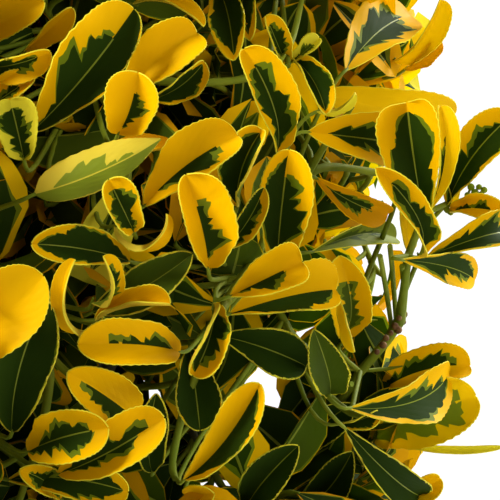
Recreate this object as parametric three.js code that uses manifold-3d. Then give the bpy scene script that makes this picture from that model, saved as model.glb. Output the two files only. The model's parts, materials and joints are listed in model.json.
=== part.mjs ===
// A standard variegated euonymus: a ball head of leafy shoots on one clear stem, in a plain clay pot.
// Millimetres, +Z up. The origin is the middle of the pot's flat underside, and -Y is the front.
import * as THREE from "three";
import { mergeVertices } from "three/addons/utils/BufferGeometryUtils.js";
import Module from "manifold-3d";

const wasm = await Module();
wasm.setup();

// Driving dimensions, in millimetres and degrees
const CLEARANCE = 0.3;

// How solids are joined: corners are rounded to a grid of WELD, no face is thinner than NEEDLE, and a
// piece that doesn't join cleanly is tried again on a widening spiral with these steps
const WELD = 0.02;
const NEEDLE = 0.004;
const HAIR = { tries: 24, step: 0.07, turn: 2.4, easings: [5, 2, 1, 0.3], loss: 0.3 };

const POT = {
  height: 235,
  baseRadius: 92,
  topRadius: 122,
  wall: 9,
  floor: 13,
  rimHeight: 36,
  rimProud: 6,
  rounding: 3,
  sides: 40,
};

const SOIL = { belowRim: 24, moundHeight: 5, moundRadius: 30, sides: 32 };

const HEAD = { height: 800, radius: 190 };

const TRUNK = {
  tipHeight: 738,
  footRadius: 9,
  tipRadius: 4.6,
  flare: 8,
  flareHeight: 22,
  bow: [
    { rise: 0.22, right: 2.5, back: -2 },
    { rise: 0.5, right: 5, back: 1.5 },
    { rise: 0.8, right: 2.8, back: 2.5 },
  ],
  sides: 12,
  steps: 14,
};

// Reach is how far from the middle of the head a bough ends, and belly how it swings out on its way
const BOUGH = {
  footRadius: 3.9,
  tipRadius: 2.6,
  sides: 6,
  steps: 4,
  reach: 82,
  belly: { at: 0.45, out: 9, down: 6 },
};

// The one stem in each mass. Spots are where along it twigs may branch off.
const STEM = {
  footRadius: 2.4,
  tipRadius: 1.7,
  length: 48,
  straight: 0.4,
  sides: 5,
  steps: 2,
  spots: [0.45, 0.7, 0.97],
};

// Twigs leave and arrive along gentle curves, eased off where the full curve would leave the mass
const TWIG = {
  footRadius: 1.8,
  tipRadius: 1.3,
  sides: 3,
  steps: 3,
  checks: 8,
  margin: 2,
  shortest: 36,
  turnCost: 40,
  tries: 3,
  eases: [1, 0.4],
  leave: 0.25,
  arrive: 0.35,
  spots: [0.35, 0.6],
};

// A leaf is larger than life, as each stands for a few. Its outline is a foot sunk in the twig, two
// shoulders a side and a blunt tip: shares of the length from the foot, and of half the width.
const LEAF = {
  length: 70,
  width: 42,
  thickness: 1.2,
  sunk: -0.6,
  overlap: 0.02,
  shoulders: [
    { at: 0.4, wide: 0.82 },
    { at: 0.76, wide: 0.9 },
  ],
  cup: 0.22,
  tipDroop: 0.1,
  spread: 54,
  opening: 12,
  liftSpread: 14,
  tilt: 0.4,
  smallest: 0.86,
  sizeSpread: 0.2,
  firstPair: 2,
  pairSpacing: 17,
  pairs: 2,
};

// What is tried for a leaf until it keeps to its mass's space: its share of the full size, how much
// closer to the shoot it lies, and how far round the shoot it turns
const LEAF_TRIES = [
  { share: 1, closer: 0, round: 0 },
  { share: 0.85, closer: 14, round: 0 },
  { share: 0.85, closer: 0, round: 40 },
  { share: 0.85, closer: 0, round: -40 },
  { share: 0.7, closer: 26, round: 0 },
  { share: 0.6, closer: 10, round: 80 },
];

// Rings of foliage masses: how many, their height above the horizon as seen from the middle of the head,
// the compass angle of the first, the lowest place on the stem where their boughs leave it, and how
// much higher each next one leaves
const RINGS = [
  { name: "upper", count: 4, elevation: 40, turn: -70, forkHeight: 712, stagger: 5 },
  { name: "middle", count: 5, elevation: 0, turn: -34, forkHeight: 668, stagger: 8 },
  { name: "lower", count: 4, elevation: -42, turn: -25, forkHeight: 640, stagger: 6 },
];
const CELL_REACH = 118;

// Tips of the shoots that make the front of the head, as distances right of and above its middle, and
// how far out from the middle each one ends
const FRONT_SHOOTS = [
  { right: 190, above: 43, reach: 203 },
  { right: 99, above: -7, reach: 190 },
  { right: 51, above: -23, reach: 191 },
  { right: 29, above: -69, reach: 190 },
  { right: 35, above: 15, reach: 194 },
  { right: 68, above: 40, reach: 190 },
  { right: 121, above: 85, reach: 192 },
  { right: 118, above: 26, reach: 186 },
  { right: 148, above: 66, reach: 190 },
  { right: 157, above: -55, reach: 196 },
  { right: 80, above: 84, reach: 190 },
  { right: 127, above: -82, reach: 190 },
  { right: 83, above: -66, reach: 188 },
];

// The other shoots lie on a spiral over the ball, down to where the stem comes in
const SPIRAL = { count: 130, lowest: -0.86, apart: 54, jitter: 7, seed: 11, seedStep: 100 };
const SHOOT_END = { outwards: 0.8, up: 0.42 };

const BARK = new THREE.MeshStandardMaterial({ color: 0x6b5f4c, roughness: 0.9, metalness: 0 });
const CLAY = new THREE.MeshStandardMaterial({ color: 0xb5623c, roughness: 0.85, metalness: 0 });
const COMPOST = new THREE.MeshStandardMaterial({ color: 0x33261c, roughness: 1, metalness: 0 });
const GOLD_LEAF = new THREE.MeshStandardMaterial({ color: 0xd9a90c, roughness: 0.45, metalness: 0 });

const UP = new THREE.Vector3(0, 0, 1);
const HEAD_MIDDLE = new THREE.Vector3(0, 0, HEAD.height);
const SLANT = new THREE.Vector3(0.31, 0.22, 0.92);
const SOIL_LEVEL = POT.height - SOIL.belowRim;

// A stream of numbers from 0 to 1 that is the same on every run
function seeded(seed) {
  let state = seed >>> 0;
  return () => {
    state = (state + 0x6d2b79f5) >>> 0;
    let mixed = Math.imul(state ^ (state >>> 15), state | 1);
    mixed ^= mixed + Math.imul(mixed ^ (mixed >>> 7), mixed | 61);
    return ((mixed ^ (mixed >>> 14)) >>> 0) / 4294967296;
  };
}

// Closed geometry to a solid, with only its positions kept so that shared corners merge
function solidOf(geometry, tolerance = 1e-4) {
  const bare = new THREE.BufferGeometry();
  bare.setAttribute("position", geometry.getAttribute("position").clone());
  if (geometry.index) bare.setIndex(geometry.index.clone());
  const merged = mergeVertices(bare, tolerance);
  const triVerts = [];
  const corners = merged.index.array;
  for (let i = 0; i < corners.length; i += 3) {
    const [a, b, c] = [corners[i], corners[i + 1], corners[i + 2]];
    if (a !== b && b !== c && a !== c) triVerts.push(a, b, c);
  }
  return new wasm.Manifold(
    new wasm.Mesh({
      numProp: 3,
      vertProperties: merged.getAttribute("position").array,
      triVerts: new Uint32Array(triVerts),
    }),
  );
}

function geometryOf(solid) {
  const mesh = solid.getMesh();
  const geometry = new THREE.BufferGeometry();
  geometry.setAttribute("position", new THREE.BufferAttribute(mesh.vertProperties, 3));
  geometry.setIndex(new THREE.BufferAttribute(mesh.triVerts, 1));
  geometry.computeVertexNormals();
  return geometry;
}

function meshOf(name, solid, material) {
  const mesh = new THREE.Mesh(geometryOf(solid), material);
  mesh.name = name;
  return mesh;
}

// The largest closed body of a solid: a loose scrap is dropped, and a sealed hollow is filled.
// Corners are rounded to a fine grid, so that no body hangs on by less than one step of it.
function wholeBody(solid, easing = WELD) {
  const geometry = geometryOf(solid.simplify(easing));
  const place = geometry.getAttribute("position");
  for (let i = 0; i < place.array.length; i++) {
    place.array[i] = Math.round(place.array[i] / WELD) * WELD;
  }
  const bodies = solidOf(geometry).decompose();
  return bodies.reduce((best, body) => (body.volume() > best.volume() ? body : best));
}

// Whether a solid is sound once corners in the same place are one: every edge belongs to just two
// faces, and no face is thinner than a needle
function isSound(solid) {
  const geometry = geometryOf(solid);
  geometry.deleteAttribute("normal");
  const merged = mergeVertices(geometry, WELD / 4);
  const place = merged.getAttribute("position");
  const corners = merged.index.array;
  const facesAtEdge = new Map();
  const face = new THREE.Triangle();
  for (let i = 0; i < corners.length; i += 3) {
    const trio = [corners[i], corners[i + 1], corners[i + 2]];
    face.setFromAttributeAndIndices(place, ...trio);
    const sides = [face.a.distanceTo(face.b), face.b.distanceTo(face.c), face.c.distanceTo(face.a)];
    if ((2 * face.getArea()) / Math.max(...sides) < NEEDLE) return false;
    trio.forEach((corner, j) => {
      const edge = [corner, trio[(j + 1) % 3]].sort((a, b) => a - b).join();
      facesAtEdge.set(edge, (facesAtEdge.get(edge) || 0) + 1);
    });
  }
  return [...facesAtEdge.values()].every((count) => count === 2);
}

// Solids joined one after another. One that would leave the whole unsound, or loose from it, is moved
// by a hair and tried again, and left out if no try is sound.
function joined(solids) {
  return solids.slice(1).reduce((body, next) => {
    for (let i = 0; i < HAIR.tries; i++) {
      const [turn, away] = [i * HAIR.turn, Math.sqrt(i) * HAIR.step];
      const shift = [Math.cos(turn) * away, Math.sin(turn) * away, Math.cos(3 * turn) * away];
      const easing = WELD * HAIR.easings[i % HAIR.easings.length];
      const both = body.add(next.translate(shift));
      const grown = wholeBody(both, easing);
      if (both.volume() - grown.volume() < HAIR.loss * next.volume() && isSound(grown)) return grown;
    }
    return body;
  }, solids[0]);
}

// A limb: a closed cylinder whose rings are laid along a curve and sized by radiusAt(0 to 1)
function limbGeometry(curve, radiusAt, sides, steps) {
  const geometry = new THREE.CylinderGeometry(1, 1, 1, sides, steps);
  const place = geometry.getAttribute("position");
  const side = new THREE.Vector3();
  for (let i = 0; i < place.count; i++) {
    const t = THREE.MathUtils.clamp(place.getY(i) + 0.5, 0, 1);
    const along = curve.getTangent(t);
    side.crossVectors(along, Math.abs(along.x) < 0.9 ? new THREE.Vector3(1, 0, 0) : UP).normalize();
    const across = new THREE.Vector3().crossVectors(side, along);
    const point = curve
      .getPoint(t)
      .addScaledVector(side, place.getX(i) * radiusAt(t))
      .addScaledVector(across, place.getZ(i) * radiusAt(t));
    place.setXYZ(i, point.x, point.y, point.z);
  }
  return geometry;
}

function taper(from, to) {
  return (t) => from + (to - from) * t;
}

function limb(curve, radiusAt, sides, steps) {
  return facingOut(limbGeometry(curve, radiusAt, sides, steps));
}

// A solid of closed geometry, turned right side out if its corners were laid the other way round
function facingOut(geometry) {
  const solid = solidOf(geometry);
  if (solid.volume() > 0) return solid;
  const corners = geometry.index.array;
  for (let i = 0; i < corners.length; i += 3) {
    [corners[i + 1], corners[i + 2]] = [corners[i + 2], corners[i + 1]];
  }
  return solidOf(geometry);
}

// The pot: a tapering wall with a thicker rim band, a floor, and a flat underside
function makePot() {
  const { height, baseRadius, topRadius, wall, floor, rimHeight, rimProud, rounding, sides } = POT;
  const wallRadius = (z) => baseRadius + ((topRadius - baseRadius) * z) / height;
  const rimFoot = height - rimHeight;
  const profile = [
    [0, 0],
    [baseRadius - rounding, 0],
    [baseRadius, rounding],
    [wallRadius(rimFoot), rimFoot],
    [wallRadius(rimFoot) + rimProud, rimFoot + rounding],
    [topRadius + rimProud, height - rounding],
    [topRadius + rimProud - rounding, height],
    [topRadius - wall + rounding, height],
    [topRadius - wall, height - rounding],
    [wallRadius(floor) - wall, floor],
    [0, floor],
  ];
  return turned(profile, sides);
}

// Compost that fills the pot, with a low mound that ends flat under the stem
function makeSoil() {
  const { floor, baseRadius, topRadius, height, wall } = POT;
  const innerRadius = (z) => baseRadius + ((topRadius - baseRadius) * z) / height - wall - 2 * CLEARANCE;
  const foot = floor + CLEARANCE;
  const edge = SOIL_LEVEL - SOIL.moundHeight;
  const profile = [
    [0, foot],
    [innerRadius(foot), foot],
    [innerRadius(edge), edge],
    [SOIL.moundRadius, SOIL_LEVEL],
    [0, SOIL_LEVEL],
  ];
  return turned(profile, SOIL.sides);
}

// A lathed solid stood up on +Z
function turned(profile, sides) {
  const points = profile.map(([r, z]) => new THREE.Vector2(r, z));
  const geometry = new THREE.LatheGeometry(points, sides);
  geometry.rotateX(Math.PI / 2);
  return facingOut(geometry);
}

// The clear stem: slightly bowed from the soil to the tip, where the topmost mass begins
function trunkCurve(extra = 0) {
  const foot = new THREE.Vector3(0, 0, SOIL_LEVEL + CLEARANCE);
  const rise = TRUNK.tipHeight - foot.z;
  const bows = TRUNK.bow.map((at) => new THREE.Vector3(at.right, at.back, foot.z + rise * at.rise));
  return new THREE.CatmullRomCurve3([foot, ...bows, new THREE.Vector3(0, 0, TRUNK.tipHeight + extra)]);
}

// The stem thins steadily and swells at its foot into the root flare
function trunkRadius(extra = 0) {
  const rise = TRUNK.tipHeight - SOIL_LEVEL;
  return (t) => {
    const shaft = TRUNK.footRadius + (TRUNK.tipRadius - TRUNK.footRadius) * t;
    return shaft + TRUNK.flare * Math.exp((-t * rise) / TRUNK.flareHeight) + extra;
  };
}

// The stem, cut level at the soil. With extra it is that much thicker and longer, to clear its boughs.
function makeTrunk(extra = 0) {
  const shaft = limb(trunkCurve(extra), trunkRadius(extra), TRUNK.sides, TRUNK.steps);
  const wide = 2 * POT.topRadius;
  const below = new THREE.BoxGeometry(wide, wide, wide);
  below.translate(0, 0, SOIL_LEVEL + CLEARANCE - wide / 2);
  return shaft.subtract(solidOf(below));
}

// The point on the stem's middle line at a height
function onTrunk(height) {
  const t = (height - SOIL_LEVEL) / (TRUNK.tipHeight - SOIL_LEVEL);
  return trunkCurve().getPoint(THREE.MathUtils.clamp(t, 0, 1));
}

function compass(turn, elevation) {
  const [a, e] = [THREE.MathUtils.degToRad(turn), THREE.MathUtils.degToRad(elevation)];
  return new THREE.Vector3(Math.cos(a) * Math.cos(e), Math.sin(a) * Math.cos(e), Math.sin(e));
}

// Every foliage mass: its name, the way it faces, and the bough that carries it, if the stem doesn't
function massPlan() {
  const plan = [{ name: "top", facing: UP.clone(), start: onTrunk(TRUNK.tipHeight), way: UP.clone() }];
  for (const ring of RINGS) {
    for (let i = 0; i < ring.count; i++) {
      const facing = compass(ring.turn + (360 / ring.count) * i, ring.elevation);
      const fork = onTrunk(ring.forkHeight + ring.stagger * ((i * 2) % ring.count));
      const start = HEAD_MIDDLE.clone().addScaledVector(facing, BOUGH.reach);
      const flat = new THREE.Vector3(facing.x, facing.y, 0).normalize();
      const { at, out, down } = BOUGH.belly;
      const bend = fork.clone().lerp(start, at).addScaledVector(flat, out).addScaledVector(UP, -down);
      const bough = new THREE.QuadraticBezierCurve3(fork, bend, start);
      plan.push({ name: `${ring.name}_${i + 1}`, facing, start, way: bough.getTangent(1), bough });
    }
  }
  return plan;
}

function makeBough(mass, trunkSkin) {
  const radius = taper(BOUGH.footRadius, BOUGH.tipRadius);
  return wholeBody(limb(mass.bough, radius, BOUGH.sides, BOUGH.steps).subtract(trunkSkin));
}

// The space that a mass keeps to: nearer to its own middle than to any other mass's
function keepsTo(mass, plan) {
  const middle = (m) => HEAD_MIDDLE.clone().addScaledVector(m.facing, CELL_REACH);
  const own = middle(mass);
  const walls = plan
    .filter((other) => other !== mass)
    .map((other) => {
      const away = own.clone().sub(middle(other));
      const between = own.clone().add(middle(other)).multiplyScalar(0.5);
      return { between, away: away.normalize() };
    });
  return (point, margin) =>
    walls.every(({ between, away }) => point.clone().sub(between).dot(away) > margin);
}

// Tips of all shoots: the front ones as placed, then the spiral's where it leaves room
function shootTips() {
  const random = seeded(SPIRAL.seed);
  const tips = FRONT_SHOOTS.map(({ right, above, reach }) => {
    const depth = Math.sqrt(Math.max(reach ** 2 - right ** 2 - above ** 2, 0));
    return new THREE.Vector3(right, -depth, HEAD.height + above);
  });
  const goldenTurn = Math.PI * (3 - Math.sqrt(5));
  for (let i = 0; i < SPIRAL.count; i++) {
    const rise = 1 - ((1 - SPIRAL.lowest) * (i + 0.5)) / SPIRAL.count;
    const level = Math.sqrt(1 - rise ** 2);
    const turn = i * goldenTurn;
    const reach = HEAD.radius + (random() * 2 - 1) * SPIRAL.jitter;
    const tip = new THREE.Vector3(Math.cos(turn) * level, Math.sin(turn) * level, rise)
      .multiplyScalar(reach)
      .add(HEAD_MIDDLE);
    if (tips.every((other) => other.distanceTo(tip) > SPIRAL.apart)) tips.push(tip);
  }
  return tips;
}

// A shoot ends pointing outwards and a little up
function shootWay(tip) {
  const out = tip.clone().sub(HEAD_MIDDLE).normalize().multiplyScalar(SHOOT_END.outwards);
  return out.addScaledVector(UP, SHOOT_END.up).normalize();
}

// Places to branch from for a tip, best first: near it, and without a sharp turn
function branchPoints(tip, spots) {
  const cost = ({ point, along }) => {
    const gap = tip.clone().sub(point);
    return gap.length() + TWIG.turnCost * (1 - gap.normalize().dot(along));
  };
  return spots
    .filter(({ point }) => point.distanceTo(tip) > TWIG.shortest)
    .sort((a, b) => cost(a) - cost(b))
    .slice(0, TWIG.tries);
}

// A twig's middle line from where it branches off to its tip. Ease is how softly it turns.
function twigCurve(spot, tip, ease) {
  const length = tip.distanceTo(spot.point);
  return new THREE.CubicBezierCurve3(
    spot.point,
    spot.point.clone().addScaledVector(spot.along, length * TWIG.leave * ease),
    tip.clone().addScaledVector(shootWay(tip), -length * TWIG.arrive * ease),
    tip,
  );
}

// The point on a limb's middle line, which is straight between its rings
function onLimb(curve, t, steps) {
  const ring = Math.min(Math.floor(t * steps), steps - 1);
  const from = curve.getPoint(ring / steps);
  return from.lerp(curve.getPoint((ring + 1) / steps), t * steps - ring);
}

function spotsAlong(curve, shares, steps) {
  return shares.map((t) => ({ point: onLimb(curve, t, steps), along: curve.getTangent(t) }));
}

// A mass's stem, then a twig to each tip, each from the best place on what has grown so far
function growTwigs(mass, tips, inside, touchesLimb) {
  const foot = mass.start.clone().addScaledVector(mass.way, CLEARANCE);
  const head = HEAD_MIDDLE.clone().addScaledVector(mass.facing, BOUGH.reach + STEM.length);
  const bend = foot.clone().addScaledVector(mass.way, STEM.length * STEM.straight);
  const stem = new THREE.QuadraticBezierCurve3(foot, bend, head);
  const solids = [limb(stem, taper(STEM.footRadius, STEM.tipRadius), STEM.sides, STEM.steps)];
  const spots = spotsAlong(stem, STEM.spots, STEM.steps);
  const shoots = [];
  const thinning = taper(TWIG.footRadius, TWIG.tipRadius);
  const nearFirst = [...tips].sort((a, b) => a.distanceTo(head) - b.distanceTo(head));
  for (const tip of nearFirst) {
    const grown = branchPoints(tip, spots)
      .flatMap((spot) => TWIG.eases.map((ease) => twigCurve(spot, tip, ease)))
      .filter((curve) => curve.getPoints(TWIG.checks).every((point) => inside(point, TWIG.margin)))
      .map((curve) => ({ curve, solid: limb(curve, thinning, TWIG.sides, TWIG.steps) }))
      .find(({ solid }) => !touchesLimb(solid));
    if (!grown) continue;
    solids.push(grown.solid);
    spots.push(...spotsAlong(grown.curve, TWIG.spots, TWIG.steps));
    shoots.push(grown.curve);
  }
  return { solids, shoots };
}

// A leaf's outline in its own plane, with the foot at the origin and the tip along +Y
function leafOutline(size) {
  const right = LEAF.shoulders.map(
    ({ at, wide }) => new THREE.Vector2((wide * LEAF.width * size) / 2, at * LEAF.length * size),
  );
  const foot = new THREE.Vector2(0, -LEAF.sunk);
  const tip = new THREE.Vector2(0, LEAF.length * size);
  const left = right.map(({ x, y }) => new THREE.Vector2(-x, y)).reverse();
  return new THREE.Shape([foot, ...right, tip, ...left]);
}

// One leaf: a thin cupped blade, its foot sunk in the twig and its tip bent down a little.
// way is from foot to tip, and face is the side that it turns to the light.
function makeLeaf(foot, way, face, size) {
  const geometry = new THREE.ExtrudeGeometry(leafOutline(size), {
    depth: LEAF.thickness,
    steps: 1,
    bevelEnabled: false,
  });
  geometry.translate(0, 0, -LEAF.thickness / 2);
  const across = new THREE.Vector3().crossVectors(way, face).normalize();
  const normal = new THREE.Vector3().crossVectors(across, way).normalize();
  const place = geometry.getAttribute("position");
  for (let i = 0; i < place.count; i++) {
    const [x, y, z] = [place.getX(i), place.getY(i), place.getZ(i)];
    const share = Math.max(y, 0) / (LEAF.length * size);
    const raised = z + LEAF.cup * Math.abs(x) - LEAF.tipDroop * share ** 2 * y;
    const point = foot
      .clone()
      .addScaledVector(way, y)
      .addScaledVector(across, x)
      .addScaledVector(normal, raised);
    place.setXYZ(i, point.x, point.y, point.z);
  }
  return facingOut(geometry);
}

function cornersInside(solid, inside) {
  const mesh = solid.getMesh();
  const point = new THREE.Vector3();
  for (let i = 0; i < mesh.vertProperties.length; i += mesh.numProp) {
    point.set(mesh.vertProperties[i], mesh.vertProperties[i + 1], mesh.vertProperties[i + 2]);
    if (!inside(point, CLEARANCE)) return false;
  }
  return true;
}

// Leaves stand in pairs, each pair turned a quarter from the last. A leaf that would leave the mass's
// space or cross another leaf is tried smaller, closer to the shoot or turned round it before it is
// skipped.
function leavesOn(curve, inside, touchesLimb, random, others) {
  const leaves = [];
  const crosses = (leaf) =>
    [...others, ...leaves].some((other) => other.intersect(leaf).volume() > LEAF.overlap);
  const length = curve.getLength();
  const turn = random() * Math.PI;
  for (let pair = 0; pair < LEAF.pairs; pair++) {
    const t = 1 - (LEAF.firstPair + pair * LEAF.pairSpacing) / length;
    const foot = onLimb(curve, t, TWIG.steps);
    const along = curve.getTangent(t);
    const aside = new THREE.Vector3().crossVectors(along, SLANT).normalize();
    for (let half = 0; half < 2; half++) {
      const quarter = turn + (pair * Math.PI) / 2 + half * Math.PI;
      const size = LEAF.smallest + random() * LEAF.sizeSpread;
      const lift = (random() - 0.5) * LEAF.liftSpread;
      const made = LEAF_TRIES.map(({ share, closer, round }) => {
        const out = aside.clone().applyAxisAngle(along, quarter + THREE.MathUtils.degToRad(round));
        const open = THREE.MathUtils.degToRad(LEAF.spread + pair * LEAF.opening + lift - closer);
        const way = along.clone().multiplyScalar(Math.cos(open)).addScaledVector(out, Math.sin(open));
        const face = along.clone().addScaledVector(out, -LEAF.tilt);
        return makeLeaf(foot, way, face, size * share);
      }).find((leaf) => cornersInside(leaf, inside) && !touchesLimb(leaf) && !crosses(leaf));
      if (made) leaves.push(made);
    }
  }
  return leaves;
}

function makeMass(mass, plan, tips, limbs, index) {
  const inside = keepsTo(mass, plan);
  const random = seeded(SPIRAL.seed + SPIRAL.seedStep * (index + 1));
  const touchesLimb = (solid) => !solid.intersect(limbs).isEmpty();
  const own = tips.filter((tip) => inside(tip, TWIG.margin));
  const { solids, shoots } = growTwigs(mass, own, inside, touchesLimb);
  const leaves = [];
  for (const curve of shoots) leaves.push(...leavesOn(curve, inside, touchesLimb, random, leaves));
  return joined([...solids, ...leaves]);
}

function makeEuonymus() {
  const plant = new THREE.Group();
  plant.add(meshOf("pot", makePot(), CLAY));
  plant.add(meshOf("compost", makeSoil(), COMPOST));
  plant.add(meshOf("trunk", makeTrunk(), BARK));
  const plan = massPlan();
  const trunkSkin = makeTrunk(CLEARANCE);
  const boughs = plan.filter((mass) => mass.bough).map((mass) => [mass.name, makeBough(mass, trunkSkin)]);
  for (const [name, bough] of boughs) plant.add(meshOf(`bough_${name}`, bough, BARK));
  const limbs = boughs.reduce((all, [, bough]) => all.add(bough), trunkSkin);
  const tips = shootTips();
  plan.forEach((mass, index) => {
    plant.add(meshOf(`foliage_${mass.name}`, makeMass(mass, plan, tips, limbs, index), GOLD_LEAF));
  });
  return plant;
}

export default makeEuonymus();
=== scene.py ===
"""A standard variegated euonymus in its clay pot, dressed for a picture.

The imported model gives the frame. Sizes are in millimetres and become metres where a mesh is made.
The plant grows by the same rule as the CAD source and is carried on to finer shoots and true leaves.
"""

import json
import logging
import math
from collections.abc import Callable, Iterator
from dataclasses import dataclass, field
from enum import Enum
from typing import NamedTuple

import bpy
import numpy as np
from bpy.types import ID, Material, Node, NodeTree, Object
from mathutils import Matrix, Vector, noise

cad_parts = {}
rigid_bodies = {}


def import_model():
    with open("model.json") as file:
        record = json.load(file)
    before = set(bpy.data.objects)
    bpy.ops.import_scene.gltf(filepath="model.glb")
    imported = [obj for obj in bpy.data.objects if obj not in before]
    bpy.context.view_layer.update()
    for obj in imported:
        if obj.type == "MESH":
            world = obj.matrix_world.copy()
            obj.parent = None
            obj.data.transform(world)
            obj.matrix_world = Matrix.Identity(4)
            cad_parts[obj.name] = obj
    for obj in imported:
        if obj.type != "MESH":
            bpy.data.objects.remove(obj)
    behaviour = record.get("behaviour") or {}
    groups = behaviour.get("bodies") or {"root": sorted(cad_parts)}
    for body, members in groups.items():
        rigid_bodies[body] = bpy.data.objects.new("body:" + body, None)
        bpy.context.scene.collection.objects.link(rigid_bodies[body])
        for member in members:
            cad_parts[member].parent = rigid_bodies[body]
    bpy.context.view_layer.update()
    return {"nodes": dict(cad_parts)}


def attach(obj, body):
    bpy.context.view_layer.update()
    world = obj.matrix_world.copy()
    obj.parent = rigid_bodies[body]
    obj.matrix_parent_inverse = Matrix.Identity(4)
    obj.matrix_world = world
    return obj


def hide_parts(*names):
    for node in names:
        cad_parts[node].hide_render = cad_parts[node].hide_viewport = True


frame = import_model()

log = logging.getLogger("euonymus")

Array = np.ndarray
Pair = tuple[float, float]
Triple = tuple[float, float, float]
Route = tuple[Node, str | int, Node, str | int]

MM = 0.001
UP = np.array([0.0, 0.0, 1.0])
GOLDEN_TURN = math.pi * (3 - math.sqrt(5))
WORD = 0xFFFFFFFF
SEED_STEP = 0x6D2B79F5
FOLIAGE_NODES = tuple(sorted(name for name in frame["nodes"] if name.startswith("foliage_")))
BOUGH_NODES = tuple(sorted(name for name in frame["nodes"] if name.startswith("bough_")))
SOURCE_STEPS, FINER_STEPS = 14, 10


# Small helpers


def unit(way: Array) -> Array:
    """The same direction with length one."""
    return way / max(float(np.linalg.norm(way)), 1e-9)


def gap_between(one: Array, other: Array) -> float:
    """The distance between two points."""
    return float(np.linalg.norm(one - other))


def around(way: Array, axis: Array, angle: float) -> Array:
    """A direction turned about an axis by an angle in radians."""
    turned = way * math.cos(angle) + np.cross(axis, way) * math.sin(angle)
    return turned + axis * float(np.dot(axis, way)) * (1 - math.cos(angle))


def linear(colour: str) -> tuple[float, float, float, float]:
    """A screen colour such as 'ffcc00' as the linear colour that shaders take."""
    parts = [int(colour[i : i + 2], 16) / 255 for i in (0, 2, 4)]
    lit = [c / 12.92 if c <= 0.04045 else ((c + 0.055) / 1.055) ** 2.4 for c in parts]
    return (lit[0], lit[1], lit[2], 1.0)


def low_product(a: int, b: int) -> int:
    """The low 32 bits of a product."""
    return (a * b) & WORD


def turns(sides: int) -> list[float]:
    """The angles of the corners of a ring, in radians."""
    return [2 * math.pi * j / sides for j in range(sides)]


def circle(radius: float, height: float, sides: int) -> list[Triple]:
    """The corners of a level ring about the vertical axis."""
    return [(radius * math.cos(turn), radius * math.sin(turn), height) for turn in turns(sides)]


def spiral(count: int, lowest: float) -> Iterator[tuple[float, float, float, int]]:
    """Directions spread evenly over a ball down to a height, with the number of each.

    Args:
        count: How many directions there are.
        lowest: The height at which they end, from 1 at the top to -1 at the bottom.

    Returns:
        The three parts of each direction and its number, one direction at a time.
    """
    for i in range(count):
        rise = 1 - ((1 - lowest) * (i + 0.5)) / count
        level = math.sqrt(1 - rise**2)
        yield math.cos(i * GOLDEN_TURN) * level, math.sin(i * GOLDEN_TURN) * level, rise, i


class Seeded:
    """The CAD source's stream of numbers from 0 to 1, the same on every run."""

    def __init__(self, seed: int) -> None:
        """Starts the stream at a seed."""
        self.state = seed & WORD

    def draw(self) -> float:
        """The next number."""
        self.state = (self.state + SEED_STEP) & WORD
        mixed = low_product(self.state ^ (self.state >> 15), self.state | 1)
        mixed ^= (mixed + low_product(mixed ^ (mixed >> 7), mixed | 61)) & WORD
        return ((mixed ^ (mixed >> 14)) & WORD) / (WORD + 1)

    def between(self, low: float, high: float) -> float:
        """The next number, laid between two others."""
        return low + (high - low) * self.draw()


# Curves


@dataclass(frozen=True)
class Curve:
    """A middle line that is asked for points and directions at shares of it."""

    points: tuple[Array, ...]

    def at(self, t: float) -> Array:
        """The point at a share of the curve.

        Args:
            t: The share, 0 at the start and 1 at the end.

        Returns:
            The point.
        """
        raise NotImplementedError

    def along(self, t: float) -> Array:
        """The direction at a share of the curve."""
        step = 1e-4
        return unit(self.at(min(t + step, 1.0)) - self.at(max(t - step, 0.0)))

    def line(self, steps: int) -> Array:
        """Points at even shares of the curve, both ends included."""
        return np.array([self.at(i / steps) for i in range(steps + 1)])

    def length(self) -> float:
        """The length of the curve."""
        return float(np.linalg.norm(np.diff(self.line(16), axis=0), axis=1).sum())


@dataclass(frozen=True)
class Bezier(Curve):
    """A Bezier curve of any degree through its first and last point."""

    def at(self, t: float) -> Array:
        """The point at a share of the curve."""
        row = list(self.points)
        while len(row) > 1:
            row = [a + (b - a) * t for a, b in zip(row, row[1:])]
        return row[0]


@dataclass(frozen=True)
class Spline(Curve):
    """A centripetal Catmull-Rom curve, as the CAD source bends its stem."""

    def at(self, t: float) -> Array:
        """The point at a share of the curve."""
        last = len(self.points) - 1
        place = t * last
        index = min(int(place), last - 1)
        weight = place - index
        p1, p2 = self.points[index], self.points[index + 1]
        p0 = self.points[index - 1] if index > 0 else 2 * p1 - p2
        p3 = self.points[index + 2] if index + 2 <= last else 2 * p2 - p1
        d0, d1, d2 = (float(np.sum((b - a) ** 2)) ** 0.25 for a, b in ((p0, p1), (p1, p2), (p2, p3)))
        leave = ((p1 - p0) / d0 - (p2 - p0) / (d0 + d1) + (p2 - p1) / d1) * d1
        arrive = ((p2 - p1) / d1 - (p3 - p1) / (d1 + d2) + (p3 - p2) / d2) * d1
        square, cube = -3 * p1 + 3 * p2 - 2 * leave - arrive, 2 * p1 - 2 * p2 + leave + arrive
        return p1 + leave * weight + square * weight**2 + cube * weight**3


# The camera that the photograph was taken with


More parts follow.
